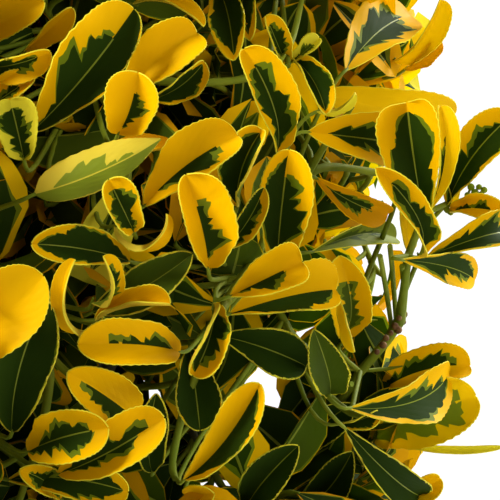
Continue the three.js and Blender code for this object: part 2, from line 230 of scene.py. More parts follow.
@dataclass(frozen=True)
class PhotoView:
    """The photograph's viewing angle, and where its pixels lie in space."""

    aim: Triple = (108.0, 0.0, 800.0)
    distance: float = 620.0
    elevation: float = 6.0
    lens: float = 96.0
    film: float = 36.0
    frame_px: float = 500.0
    nearest_shown: float = 0.02

    def back(self) -> Array:
        """The direction from what is aimed at to the camera."""
        e = math.radians(self.elevation)
        return np.array([0.0, -math.cos(e), math.sin(e)])

    def eye(self) -> Array:
        """Where the camera stands."""
        return np.array(self.aim) + self.back() * self.distance

    def upward(self) -> Array:
        """The direction of the picture's vertical."""
        e = math.radians(self.elevation)
        return np.array([0.0, math.sin(e), math.cos(e)])

    def ray(self, pixel: Pair) -> Array:
        """The direction in which a pixel looks.

        Args:
            pixel: Pixels from the left and from the top of the picture.

        Returns:
            A direction of length one.
        """
        half = self.frame_px / 2
        scale = self.film / self.lens / self.frame_px
        right, above = (pixel[0] - half) * scale, (half - pixel[1]) * scale
        return unit(-self.back() + np.array([right, 0.0, 0.0]) + self.upward() * above)

    def on_ball(self, pixel: Pair, middle: Array, reach: float) -> Array:
        """Where a pixel's ray first meets a ball, or passes nearest to its middle.

        Args:
            pixel: Pixels from the left and from the top of the picture.
            middle: The ball's middle.
            reach: The ball's radius.

        Returns:
            The point in space.
        """
        eye, way = self.eye(), self.ray(pixel)
        nearest = float(np.dot(middle - eye, way))
        gap = float(np.sum((middle - eye - way * nearest) ** 2))
        inwards = math.sqrt(max(reach**2 - gap, 0.0))
        return eye + way * (nearest - inwards)

    def project(self, point: Array) -> Triple:
        """The pixel that shows a point, and its distance along the view.

        Args:
            point: A place in space.

        Returns:
            Pixels from the left and from the top, and the distance.
        """
        away = point - self.eye()
        depth = float(np.dot(away, -self.back()))
        scale = self.frame_px * self.lens / self.film / depth
        return (
            self.frame_px / 2 + float(away[0]) * scale,
            self.frame_px / 2 - float(np.dot(away, self.upward())) * scale,
            depth,
        )

    def size_of_pixel(self, point: Array) -> float:
        """How many millimetres one pixel covers where a point lies."""
        return self.project(point)[2] * self.film / self.lens / self.frame_px

    def build(self) -> Object:
        """Makes the camera and gives it to the scene.

        Returns:
            The camera.
        """
        data = bpy.data.cameras.new("photo_camera")
        data.lens, data.sensor_width = self.lens, self.film
        data.clip_start = self.nearest_shown
        camera = linked("photo_camera", data)
        camera.location = Vector(self.eye() * MM)
        camera.rotation_mode = "QUATERNION"
        camera.rotation_quaternion = (-Vector(self.back())).to_track_quat("-Z", "Y")
        bpy.context.scene.camera = camera
        return camera


# Meshes


def linked(name: str, data: ID) -> Object:
    """Makes an object of some data and links it to the scene."""
    made = bpy.data.objects.new(name, data)
    bpy.context.scene.collection.objects.link(made)
    return made


def mesh_object(
    name: str,
    points: Array,
    faces: list,
    material: Material | None = None,
    uvs: Array | None = None,
) -> Object:
    """Makes a smooth mesh object at the origin from points in millimetres.

    Args:
        name: The object's name.
        points: One row of three numbers for each vertex.
        faces: Rows of vertex numbers.
        material: What it is finished with.
        uvs: One pair of numbers for each vertex, kept as the map 'leaf_map'.

    Returns:
        The object, linked to the scene.
    """
    mesh = bpy.data.meshes.new(name)
    mesh.from_pydata((np.asarray(points) * MM).tolist(), [], [tuple(int(i) for i in f) for f in faces])
    if uvs is not None:
        layer = mesh.uv_layers.new(name="leaf_map")
        corners = np.empty(len(mesh.loops), dtype=np.int32)
        mesh.loops.foreach_get("vertex_index", corners)
        layer.data.foreach_set("uv", np.asarray(uvs, dtype=np.float32)[corners].ravel())
    mesh.polygons.foreach_set("use_smooth", [True] * len(mesh.polygons))
    if material is not None:
        mesh.materials.append(material)
    mesh.update()
    return linked(name, mesh)


def made_plain(name: str, source: Object, material: Material, smooth: bool = True) -> Object:
    """Turns what an object's Geometry Nodes give into a plain mesh object, and removes the source.

    Args:
        name: The new object's name.
        source: The object with the modifier.
        material: The one material of the result.
        smooth: Whether its faces are shaded smooth.

    Returns:
        The plain object, linked to the scene.
    """
    graph = bpy.context.evaluated_depsgraph_get()
    mesh = bpy.data.meshes.new_from_object(source.evaluated_get(graph))
    source.modifiers.clear()
    mesh.name = name
    mesh.materials.clear()
    mesh.materials.append(material)
    mesh.polygons.foreach_set("material_index", [0] * len(mesh.polygons))
    mesh.polygons.foreach_set("use_smooth", [smooth] * len(mesh.polygons))
    bpy.data.objects.remove(source)
    return linked(name, mesh)


def ring_faces(rings: int, sides: int) -> list[tuple[int, ...]]:
    """Faces between rings of vertices laid one after another, with one face over each end.

    Args:
        rings: How many rings there are.
        sides: How many vertices each ring has.

    Returns:
        Rows of vertex numbers.
    """
    faces = []
    for k in range(rings - 1):
        for j in range(sides):
            a, b = k * sides + j, k * sides + (j + 1) % sides
            faces.append((a, b, b + sides, a + sides))
    faces.append(tuple(range(sides - 1, -1, -1)))
    faces.append(tuple((rings - 1) * sides + j for j in range(sides)))
    return faces


# Node trees


def new_node(
    tree: NodeTree, kind: str, values: dict[str | int, object] | None = None, **settings: object
) -> Node:
    """Adds a node to a tree.

    Args:
        tree: The node tree.
        kind: The node's type.
        values: Plain values for inputs that nothing feeds.
        settings: The node's own properties, such as its data type.

    Returns:
        The node.
    """
    node = tree.nodes.new(kind)
    for name, setting in settings.items():
        setattr(node, name, setting)
    for socket, value in (values or {}).items():
        node.inputs[socket].default_value = value
    return node


def wire(tree: NodeTree, *routes: Route) -> None:
    """Links nodes, each route told as a node, its output, the next node and its input."""
    for source, output, target, into in routes:
        tree.links.new(source.outputs[output], target.inputs[into])


def new_tree(
    name: str, kind: str, inputs: dict[str, str], outputs: dict[str, str]
) -> tuple[NodeTree, Node, Node]:
    """Starts a tree that others use.

    Args:
        name: Its name.
        kind: Shader or Geometry.
        inputs: The name and the kind of each input.
        outputs: The name and the kind of each output.

    Returns:
        The tree, and the two nodes where its inputs come in and its outputs go out.
    """
    tree = bpy.data.node_groups.new(name, f"{kind}NodeTree")
    for way, sockets in (("INPUT", inputs), ("OUTPUT", outputs)):
        for title, socket in sockets.items():
            tree.interface.new_socket(title, in_out=way, socket_type=f"NodeSocket{socket}")
    return tree, new_node(tree, "NodeGroupInput"), new_node(tree, "NodeGroupOutput")


def math_node(tree: NodeTree, operation: str, *values: float) -> Node:
    """A Math node with its plain numbers set."""
    return new_node(tree, "ShaderNodeMath", dict(enumerate(values)), operation=operation)


def mottle_group() -> NodeTree:
    """Broad patches and fine grain, for bark, clay and compost.

    Returns:
        The group, made once.
    """
    if "mottle" in bpy.data.node_groups:
        return bpy.data.node_groups["mottle"]
    inputs = {"Vector": "Vector", "Patches": "Float", "Grain": "Float", "Contrast": "Float"}
    tree, start, end = new_tree("mottle", "Shader", inputs, {"Patch": "Float", "Grit": "Float"})
    broad = new_node(tree, "ShaderNodeTexNoise", {"Detail": 5.0})
    fine = new_node(tree, "ShaderNodeTexNoise", {"Detail": 3.0})
    sharpen = new_node(tree, "ShaderNodeMapRange", {"From Min": 0.35, "From Max": 0.68})
    strength = math_node(tree, "MULTIPLY")
    wire(
        tree,
        (start, "Vector", broad, "Vector"), (start, "Patches", broad, "Scale"),
        (broad, "Fac", sharpen, "Value"), (sharpen, "Result", strength, 0),
        (start, "Contrast", strength, 1), (strength, "Value", end, "Patch"),
        (start, "Vector", fine, "Vector"), (start, "Grain", fine, "Scale"), (fine, "Fac", end, "Grit"),
    )
    return tree


def vein_group() -> NodeTree:
    """A leaf's side veins from its own map, and the fine swell of its skin between them.

    Returns:
        The group, made once.
    """
    if "leaf_veins" in bpy.data.node_groups:
        return bpy.data.node_groups["leaf_veins"]
    inputs = {"Vector": "Vector", "Count": "Float", "Slant": "Float", "Swell": "Float"}
    tree, start, end = new_tree("leaf_veins", "Shader", inputs, {"Height": "Float"})
    split = new_node(tree, "ShaderNodeSeparateXYZ")
    aside, wave, ridge = (math_node(tree, kind) for kind in ("ABSOLUTE", "FRACT", "ABSOLUTE"))
    slanted, along, swell = (math_node(tree, "MULTIPLY") for _ in range(3))
    phase, total = math_node(tree, "SUBTRACT"), math_node(tree, "ADD")
    centred, sharp = math_node(tree, "SUBTRACT", 0.0, 0.5), math_node(tree, "POWER", 0.0, 0.5)
    skin = new_node(tree, "ShaderNodeTexNoise", {"Scale": 7.0})
    wire(
        tree,
        (start, "Vector", split, 0), (split, "X", aside, 0), (aside, 0, slanted, 0),
        (start, "Slant", slanted, 1), (split, "Y", along, 0), (start, "Count", along, 1),
        (along, 0, phase, 0), (slanted, 0, phase, 1),
        (phase, 0, wave, 0), (wave, 0, centred, 0), (centred, 0, ridge, 0), (ridge, 0, sharp, 0),
        (start, "Vector", skin, "Vector"), (skin, "Fac", swell, 0), (start, "Swell", swell, 1),
        (sharp, 0, total, 0), (swell, 0, total, 1), (total, 0, end, "Height"),
    )
    return tree


def real_and_dressed(tree: NodeTree, start: Node, last: Node, output: str, end: Node) -> None:
    """Ends a Geometry Nodes tree: realizes what a node gives, and sets its material.

    Args:
        tree: The tree.
        start: The node where its inputs come in, one of them the material, Skin.
        last: The node that gives the shape.
        output: Which of that node's outputs.
        end: The node where its outputs go out.
    """
    real, dress = (new_node(tree, f"GeometryNode{kind}") for kind in ("RealizeInstances", "SetMaterial"))
    wire(
        tree,
        (last, output, real, "Geometry"), (real, "Geometry", dress, "Geometry"),
        (start, "Skin", dress, "Material"), (dress, "Geometry", end, 0),
    )


def bump_into(tree: NodeTree, source: Node, output: str, strength: float, depth: float) -> None:
    """Feeds a node's height to the Principled shader as relief of a depth in millimetres."""
    bump = new_node(tree, "ShaderNodeBump", {"Strength": strength, "Distance": depth * MM})
    wire(tree, (source, output, bump, "Height"), (bump, "Normal", tree.nodes["Principled BSDF"], "Normal"))


def new_material(name: str, values: dict[str, object]) -> tuple[Material, NodeTree]:
    """Makes a material with plain values on its Principled shader, and gives its node tree too.

    Args:
        name: The material's name.
        values: What the shader's own sockets are set to.

    Returns:
        The material and its tree.
    """
    material = bpy.data.materials.new(name)
    material.use_nodes = True
    for socket, value in values.items():
        material.node_tree.nodes["Principled BSDF"].inputs[socket].default_value = value
    return material, material.node_tree


# Finishes


@dataclass(frozen=True)
class LeafFinish:
    """One plain colour of leaf skin, which lets some light through."""

    name: str
    colour: str
    glow: str
    through: float = 0.3
    roughness: float = 0.58
    gloss: float = 0.04
    vein_strength: float = 0.14
    vein_depth: float = 0.5

    def build(self) -> Material:
        """Makes the material.

        Returns:
            The material.
        """
        look = {
            "Base Color": linear(self.colour),
            "Roughness": self.roughness,
            "Specular IOR Level": self.gloss,
        }
        material, tree = new_material(self.name, look)
        leaf_map = new_node(tree, "ShaderNodeUVMap", uv_map="leaf_map")
        ribs = {"Count": 8.0, "Slant": 2.4, "Swell": 1.6}
        veins = new_node(tree, "ShaderNodeGroup", ribs, node_tree=vein_group())
        bump_into(tree, veins, "Height", self.vein_strength, self.vein_depth)
        lit = new_node(tree, "ShaderNodeBsdfTranslucent", {"Color": linear(self.glow)})
        both = new_node(tree, "ShaderNodeMixShader", {"Fac": self.through})
        wire(
            tree,
            (leaf_map, "UV", veins, "Vector"), (tree.nodes["Principled BSDF"], "BSDF", both, 1),
            (lit, "BSDF", both, 2), (both, "Shader", tree.nodes["Material Output"], "Surface"),
        )
        return material


@dataclass(frozen=True)
class MottledFinish:
    """A dull surface of two colours in patches, with grain: bark, clay or compost."""

    name: str
    colour: str
    patch: str
    patches: float
    grain: float
    contrast: float
    roughness: float
    relief: float
    stretch: Triple = (1.0, 1.0, 1.0)
    gloss: float = 0.2
    rough_range: float = 0.12
    relief_strength: float = 0.6

    def build(self) -> Material:
        """Makes the material.

        Returns:
            The material.
        """
        material, tree = new_material(self.name, {"Specular IOR Level": self.gloss})
        skin = tree.nodes["Principled BSDF"]
        place = new_node(tree, "ShaderNodeTexCoord")
        laid = new_node(tree, "ShaderNodeMapping", {"Scale": self.stretch})
        values = {"Patches": self.patches, "Grain": self.grain, "Contrast": self.contrast}
        mottle = new_node(tree, "ShaderNodeGroup", values, node_tree=mottle_group())
        colours = {"A": linear(self.colour), "B": linear(self.patch)}
        blend = new_node(tree, "ShaderNodeMix", colours, data_type="RGBA")
        low, high = self.roughness - self.rough_range, min(self.roughness + self.rough_range, 1.0)
        rough = new_node(tree, "ShaderNodeMapRange", {"To Min": low, "To Max": high})
        wire(
            tree,
            (place, "Object", laid, "Vector"), (laid, "Vector", mottle, "Vector"),
            (mottle, "Patch", blend, "Factor"), (blend, "Result", skin, "Base Color"),
            (mottle, "Grit", rough, "Value"), (rough, "Result", skin, "Roughness"),
        )
        bump_into(tree, mottle, "Grit", self.relief_strength, self.relief)
        return material


BARK = MottledFinish("stem_bark", "6f6350", "8d8a63", 55.0, 420.0, 0.75, 0.82, 0.8, (1.0, 1.0, 0.3))
YOUNG_BARK = MottledFinish("shoot_skin", "68780e", "8f9420", 60.0, 500.0, 0.6, 0.72, 0.2)
OLD_TWIG = MottledFinish("twig_bark", "5c5638", "77733f", 60.0, 500.0, 0.6, 0.7, 0.3)
CORK = MottledFinish("corky_scars", "5a3a22", "94703c", 260.0, 900.0, 0.8, 0.85, 0.5)
CLAY = MottledFinish("fired_clay", "a9552f", "c58a67", 14.0, 300.0, 0.55, 0.82, 0.35)
COMPOST = MottledFinish("damp_compost", "21160f", "3d2a1c", 60.0, 500.0, 0.9, 0.92, 0.8)
CRUMBS = MottledFinish("compost_crumbs", "2e2016", "5a4632", 90.0, 700.0, 0.9, 0.9, 0.4)


class Skin(Enum):
    """The colours that a leaf is made of, each a finish of its own."""

    GOLD = LeafFinish("leaf_gold", "f2bc00", "ffd400")
    # A paler gold: painted light on the outer sprays, and a painted glow of the light through the backlit
    # leaves, most at the right.
    BRIGHT = LeafFinish("leaf_bright", "ffd20a", "ffe600", 0.42)
    # A deeper gold: a tone that varies at random on outer sprays, and painted shade inside the head and low
    # on it.
    AMBER = LeafFinish("leaf_amber", "d89c04", "f4b800")
    LEMON = LeafFinish("leaf_lemon", "e8dc38", "f4ee38")
    MID_GREEN = LeafFinish("leaf_mid_green", "6c7a12", "94b018", 0.2, 0.68, 0.08)
    DARK_GREEN = LeafFinish("leaf_dark_green", "243605", "466a06", 0.12, 0.76, 0.05)
    OLIVE = LeafFinish("leaf_olive", "425208", "66880c", 0.16, 0.66, 0.08)
    RIB = LeafFinish("leaf_rib", "7f8a24", "a8b430", 0.15, 0.5, 0.1)
    UNDER_LEMON = LeafFinish("leaf_under_lemon", "dac83a", "ece240", 0.35, 0.6, 0.1)
    UNDER_GREEN = LeafFinish("leaf_under_green", "828e1e", "a8bc2c", 0.3, 0.6, 0.1)


RIM_TONES = (Skin.GOLD, Skin.BRIGHT, Skin.AMBER, Skin.LEMON)
DARK_TONES = (Skin.DARK_GREEN, Skin.OLIVE)


class Pattern(NamedTuple):
    """The green of half a leaf: how wide it is, where it begins and ends, its paler band, its tongues."""

    dark: float
    begins: float
    ends: float
    band: float
    tongues: float


class Blade(Enum):
    """How much of a leaf is green."""

    STREAKED = Pattern(0.26, 0.14, 0.76, 0.12, 0.9)
    FEATHERED = Pattern(0.48, 0.02, 0.86, 0.14, 0.6)
    DARK = Pattern(0.78, 0.0, 0.95, 0.07, 0.2)
    GREEN = Pattern(0.93, 0.0, 1.1, 0.05, 0.04)
    GOLD = Pattern(0.0, 0.0, 0.5, 0.0, 0.0)
    ROOTED = Pattern(0.42, -0.3, 0.8, 0.1, 0.9)
    PATCHED = Pattern(0.5, 0.2, 0.8, 0.12, 0.6)


# The patterns from streaked to green and at last plain gold. The steps are the chances up to which each
# of the first four is taken, for a young leaf, for an old one and for one in the shade. Leaves deep in the
# head use the old table, greener partly from age and partly as painted shade; the greener patterns of the
# last table are painted shade under the head.
BLADE_ORDER = (Blade.STREAKED, Blade.FEATHERED, Blade.DARK, Blade.GREEN, Blade.GOLD)
BLADE_STEPS = ((0.3, 0.66, 0.84, 0.9), (0.04, 0.22, 0.6, 0.99), (0.03, 0.12, 0.4, 0.99))


# The rim colours of sprays, each with the chance up to which it is taken. Inside the head and low on it the
# rims run deeper, as painted shade; outside they run paler, as painted light.
PAINTED_SHADE_TONES = ((Skin.AMBER, 0.6), (Skin.GOLD, 1.0))
OUTER_TONES = ((Skin.GOLD, 0.36), (Skin.BRIGHT, 0.64), (Skin.AMBER, 0.82), (Skin.LEMON, 1.0))


# Leaves


@dataclass
class LeafMesh:
    """Faces of leaves gathered by colour."""

    points: dict[Skin, list[Array]] = field(default_factory=dict)
    faces: dict[Skin, list[Array]] = field(default_factory=dict)
    maps: dict[Skin, list[Array]] = field(default_factory=dict)

    def add(self, skin: Skin, points: Array, faces: Array, leaf_map: Array) -> None:
        """Adds faces of one colour with the vertices that they use.

        Args:
            skin: The colour.
            points: All vertices of the leaf.
            faces: The faces of this colour, as rows of four vertex numbers.
            leaf_map: The place of each vertex on the leaf.
        """
        used, corners = np.unique(faces, return_inverse=True)
        start = sum(len(row) for row in self.points.get(skin, []))
        self.points.setdefault(skin, []).append(points[used])
        self.maps.setdefault(skin, []).append(leaf_map[used])
        self.faces.setdefault(skin, []).append(corners.reshape(faces.shape) + start)

    def made(self, name: str, skin: Skin, material: Material | None = None) -> Object:
        """Makes an object of the faces of one colour, which may be none."""
        if skin not in self.points:
            return mesh_object(name, np.zeros((0, 3)), [], material, np.zeros((0, 2)))
        points, faces, maps = (np.concatenate(row[skin]) for row in (self.points, self.faces, self.maps))
        return mesh_object(name, points, faces, material, maps)

    def build(self, prefix: str, materials: dict[Skin, Material]) -> list[Object]:
        """Makes one object for each colour."""
        return [self.made(f"{prefix}_{skin.name.lower()}", skin, materials[skin]) for skin in self.points]


@dataclass(frozen=True)
class LeafShape:
    """One leaf in its own frame: x across, y from foot to tip, z the side turned to the light.

    Angles are in degrees. Fold lifts both halves from the midrib, bow rolls them further up (or down
    where it is negative), curl bends the tip back, and twist turns the tip about the midrib.
    """

    length: float = 1.0
    width: float = 0.56
    fold: float = 12.0
    bow: float = 18.0
    curl: float = 20.0
    twist: float = 0.0
    wave: float = 0.05
    left: Blade = Blade.STREAKED
    right: Blade = Blade.STREAKED
    rows: int = 9
    teeth: float = 0.0
    slant: float = 0.09
    seed: int = 1
    rib: float = 0.045
    plain: bool = False
    spoon: float = 0.4
    sweep: float = 0.0
    taper: float = 0.5
    lop: float = 0.0
    feather: float = 0.0
    rise: Pair = (0.62, 0.25)
    fall: Pair = (2.1, 1.2)
    crowding: float = 0.3
    least_width: float = 0.02
    curl_course: Triple = (1.35, 1.3, 0.25)
    flattening: float = 0.35
    midline_steps: int = 60
    feather_pace: float = 6.5
    band_tongues: float = 0.9
    unevenness: float = 0.07
    swelling: float = 0.04

    def half_width(self, s: Array) -> Array:
        """Half the leaf's width along it: broadest past the middle, with a blunt tip.

        A leaf with a high spoon is narrow at its foot and broad near its tip. A high taper makes the
        tip sharper.

        Args:
            s: Shares along the leaf.

        Returns:
            Half the width at each of them.
        """
        rise, fall = self.rise[0] + self.rise[1] * self.spoon, self.fall[0] + self.fall[1] * self.spoon
        peak = (rise / (rise + self.taper * fall)) ** (1 / fall)
        highest = peak**rise * (1 - peak**fall) ** self.taper
        along = np.clip(s, 0.0, 1.0)
        swell = along**rise * (1 - along**fall) ** self.taper / highest
        return np.maximum(swell, self.least_width) * self.width / 2

    def row_places(self) -> Array:
        """Where the rows of faces lie along the leaf, closer together near the blunt tip."""
        even = np.linspace(0.0, 1.0, self.rows + 1)
        return even * (1 + self.crowding - self.crowding * even)

    def midline(self) -> tuple[Array, Array, Array, Array]:
        """The midrib bent by the curl, scaled so that its two ends are the leaf's length apart.

        Returns:
            Shares along the leaf, with the place along it, the height and the slope at each.
        """
        s = np.linspace(0.0, 1.0, self.midline_steps + 1)
        gain, power, back = self.curl_course
        turn = np.radians(self.curl) * (gain * s**power - back)
        y = np.concatenate([[0.0], np.cumsum(np.cos(turn[1:]) / self.midline_steps)])
        z = np.concatenate([[0.0], np.cumsum(-np.sin(turn[1:]) / self.midline_steps)])
        rise, chord = math.atan2(z[-1], y[-1]), math.hypot(y[-1], z[-1])
        c, d = math.cos(rise), math.sin(rise)
        scale = self.length / chord
        return s, (y * c + z * d) * scale, (z * c - y * d) * scale, turn + rise

    def shares(self) -> Array:
        """Where each row's columns lie, from -1 at the left edge to 1 at the right.

        Returns:
            One row of shares for each row of vertices.
        """
        random = Seeded(self.seed)
        s = self.row_places()
        sides = []
        for blade in (self.left, self.right):
            dark, begins, ends, band, tongues = blade.value
            inside = np.clip((s - begins) / (ends - begins), 0.0, 1.0)
            grown = np.clip(np.sin(np.pi * inside**0.8), 0.0, 1.0) ** 0.6
            if ends > 1.0:
                grown = np.ones_like(s)
            start, pace = random.draw() * 2 * math.pi, random.between(1.1, 1.7)
            wave = 2 * np.pi * pace
            lobes = 0.6 * np.sin(wave * s + start) + 0.4 * np.sin(wave * 2.6 * s - start)
            jags = np.array([random.draw() - 0.5 for _ in s])
            saw = np.mod(self.feather_pace * pace * s + start, 1.0) - 0.5
            ragged = 1 + tongues * (lobes + 0.7 * jags + self.feather * saw)
            inner = np.clip(dark * grown * ragged, self.rib + 0.01, 0.96)
            ragged = 1 + self.band_tongues * np.sin(2 * np.pi * 2.1 * s + 2 * start)
            ragged = ragged + np.array([0.6 * (random.draw() - 0.5) for _ in s])
            middle = np.clip(inner + band * ragged * (grown > 0.1), inner + 0.01, 0.985)
            edge, rib = np.ones_like(s), np.full_like(s, self.rib)
            fine = [edge, (middle + 1) / 2, middle, inner, (inner + rib) / 2, rib]
            sides.append([edge, middle, inner, rib] if self.plain else fine)
        left, right = sides
        return np.stack([-c for c in left] + right[::-1], axis=1)

    def grid(self) -> tuple[Array, Array, Array]:
        """The leaf's vertices in rows and columns, their normals, and their shares.

        Returns:
            Three arrays with one row for each row of vertices.
        """
        across = self.shares()
        rows = self.row_places()[:, None]
        aside, side = np.abs(across), np.sign(across)
        s = rows + self.slant * aside * np.sin(np.pi * rows)
        half = self.half_width(s)
        if self.teeth:
            odd = (np.arange(self.rows + 1) % 2)[:, None]
            half = half * (1 - self.teeth * odd * (aside > 0.99))
        lopsided = 1 + (self.unevenness * math.sin(2.4 * self.seed) - self.lop) * side
        swollen = 1 + self.swelling * np.sin(2 * np.pi * 1.6 * s + self.seed) * (s < 0.97)
        half = half * lopsided * swollen
        bend = np.radians(self.fold) * (1 - self.flattening * s) + np.radians(self.bow) * aside / 2
        ripple = self.wave * self.width * aside**2 * np.sin(2 * np.pi * (2.3 * s + self.seed * 0.37)) * side
        level = half * aside * np.cos(bend) * side + self.sweep * self.length * 4 * s * (1 - s)
        height = half * aside * np.sin(bend) + ripple * np.sin(np.pi * np.clip(s, 0, 1))
        turn = np.radians(self.twist) * (s - 0.5)
        c, d = np.cos(turn), np.sin(turn)
        level, height = level * c - height * d, level * d + height * c
        share, y, z, angle = self.midline()
        my, mz, ma = (np.interp(s, share, row) for row in (y, z, angle))
        points = np.stack([level, my + np.sin(ma) * height, mz + np.cos(ma) * height], axis=-1)
        normals = np.cross(np.gradient(points, axis=1), np.gradient(points, axis=0))
        normals /= np.maximum(np.linalg.norm(normals, axis=-1, keepdims=True), 1e-12)
        return points, normals, across

    def skins(self, across: Array, rim: Skin, dark: Skin) -> list[list[Skin]]:
        """The colour of each face, row by row.

        Args:
            across: The shares of the columns.
            rim: The colour of the leaf's edge.
            dark: The colour of its middle.

        Returns:
            One list of colours for each row of faces.
        """
        middle = dark if dark is Skin.UNDER_GREEN else Skin.MID_GREEN
        half = [rim, middle, dark] if self.plain else [rim, rim, middle, dark, dark]
        order = half + [Skin.RIB] + half[::-1]
        rib, band_face = len(half), half.index(middle)
        thin_green, thin_band = 2 * self.rib + 0.06, 0.05
        rows = []
        for k in range(self.rows):
            row = list(order)
            for mirror in (False, True):
                shares = np.abs(across[k : k + 2, ::-1] if mirror else across[k : k + 2])
                depth = float(shares[:, band_face + 1].sum())
                band = float(shares[:, band_face].sum()) - depth
                for face in range(band_face, rib):
                    if band < thin_band if face == band_face else depth < thin_green:
                        row[len(order) - 1 - face if mirror else face] = rim
            if rim in (row[rib - 1], row[rib + 1]):
                row[rib] = rim if row[rib - 1] is row[rib + 1] else row[rib + 1]
            rows.append(row)
        return rows

    def add_to(
        self,
        book: LeafMesh,
        rim: Skin,
        dark: Skin,
        place: Array | None = None,
        thickness: float = 0.0,
    ) -> None:
        """Adds the leaf to a book of faces.

        Args:
            book: Where the faces are gathered.
            rim: The colour of the leaf's edge.
            dark: The colour of its middle.
            place: A 4 by 4 matrix that puts the leaf in the plant.
            thickness: How far under its top its paler underside lies, or 0 for a single skin.
        """
        grid, normals, across = self.grid()
        columns = across.shape[1]
        rows = np.repeat(self.row_places()[:, None], columns, axis=1)
        leaf_map = np.stack([across.ravel(), rows.ravel()], axis=1)
        skins = self.skins(across, rim, dark)
        faces: dict[Skin, list[tuple[int, ...]]] = {}
        below: dict[Skin, list[tuple[int, ...]]] = {}
        for k in range(self.rows):
            for j, skin in enumerate(skins[k]):
                a = k * columns + j
                faces.setdefault(skin, []).append((a, a + 1, a + 1 + columns, a + columns))
                under = Skin.UNDER_GREEN if skin in (dark, Skin.MID_GREEN) else Skin.UNDER_LEMON
                below.setdefault(under, []).append((a, a + columns, a + 1 + columns, a + 1))
        points = grid.reshape(-1, 3)
        under_points = points - normals.reshape(-1, 3) * thickness
        if place is not None:
            points, under_points = (row @ place[:3, :3].T + place[:3, 3] for row in (points, under_points))
        for skin, quads in faces.items():
            book.add(skin, points, np.array(quads), leaf_map)
        if not thickness:
            return
        for skin, quads in below.items():
            book.add(skin, under_points, np.array(quads), leaf_map)
        both, count = np.concatenate([points, under_points]), len(points)
        edge = [k * columns for k in range(self.rows + 1)]
        far_edge = [a + columns - 1 for a in edge]
        rims = [(a, b, b + count, a + count) for a, b in zip(edge, edge[1:])]
        rims += [(b, a, a + count, b + count) for a, b in zip(far_edge, far_edge[1:])]
        edge_skin = Skin.GOLD if rim is Skin.AMBER else Skin.LEMON
        book.add(edge_skin, both, np.array(rims), np.concatenate([leaf_map, leaf_map]))


def blade_taper(blade: Blade) -> float:
    """How sharp the tip of a leaf is: wholly green ones are more pointed."""
    return 0.66 if blade is Blade.GREEN else 0.5


def leaf_frame(foot: Array, way: Array, face: Array) -> Array:
    """The matrix of a leaf that grows one way and shows one side to the light."""
    across = unit(np.cross(way, face))
    matrix = np.eye(4)
    matrix[:3, 0], matrix[:3, 1], matrix[:3, 2], matrix[:3, 3] = across, way, np.cross(across, way), foot
    return matrix


# How the plant grows: the rule of the CAD source, carried to finer shoots


@dataclass(frozen=True)
class Ring:
    """A ring of foliage masses and where their boughs leave the stem."""

    name: str
    count: int
    elevation: float
    turn: float
    fork_height: float
    stagger: float


@dataclass(frozen=True)
class Mass:
    """One foliage mass: its name, the way it faces, and where and how its stem starts."""

    name: str
    facing: Array
    start: Array
    way: Array
    bough: Bezier | None = None


@dataclass(frozen=True)
class Spot:
    """A place on a twig that another may branch from."""

    point: Array
    along: Array


def spots_on(curve: Bezier, shares: tuple[float, ...]) -> list[Spot]:
    """Places at some shares of a curve."""
    return [Spot(curve.at(t), curve.along(t)) for t in shares]


@dataclass(frozen=True)
class Shoot:
    """One grown twig: its curve, its radius at both ends, and how young it is (0 is the oldest)."""

    curve: Bezier
    foot_radius: float
    tip_radius: float
    age: int


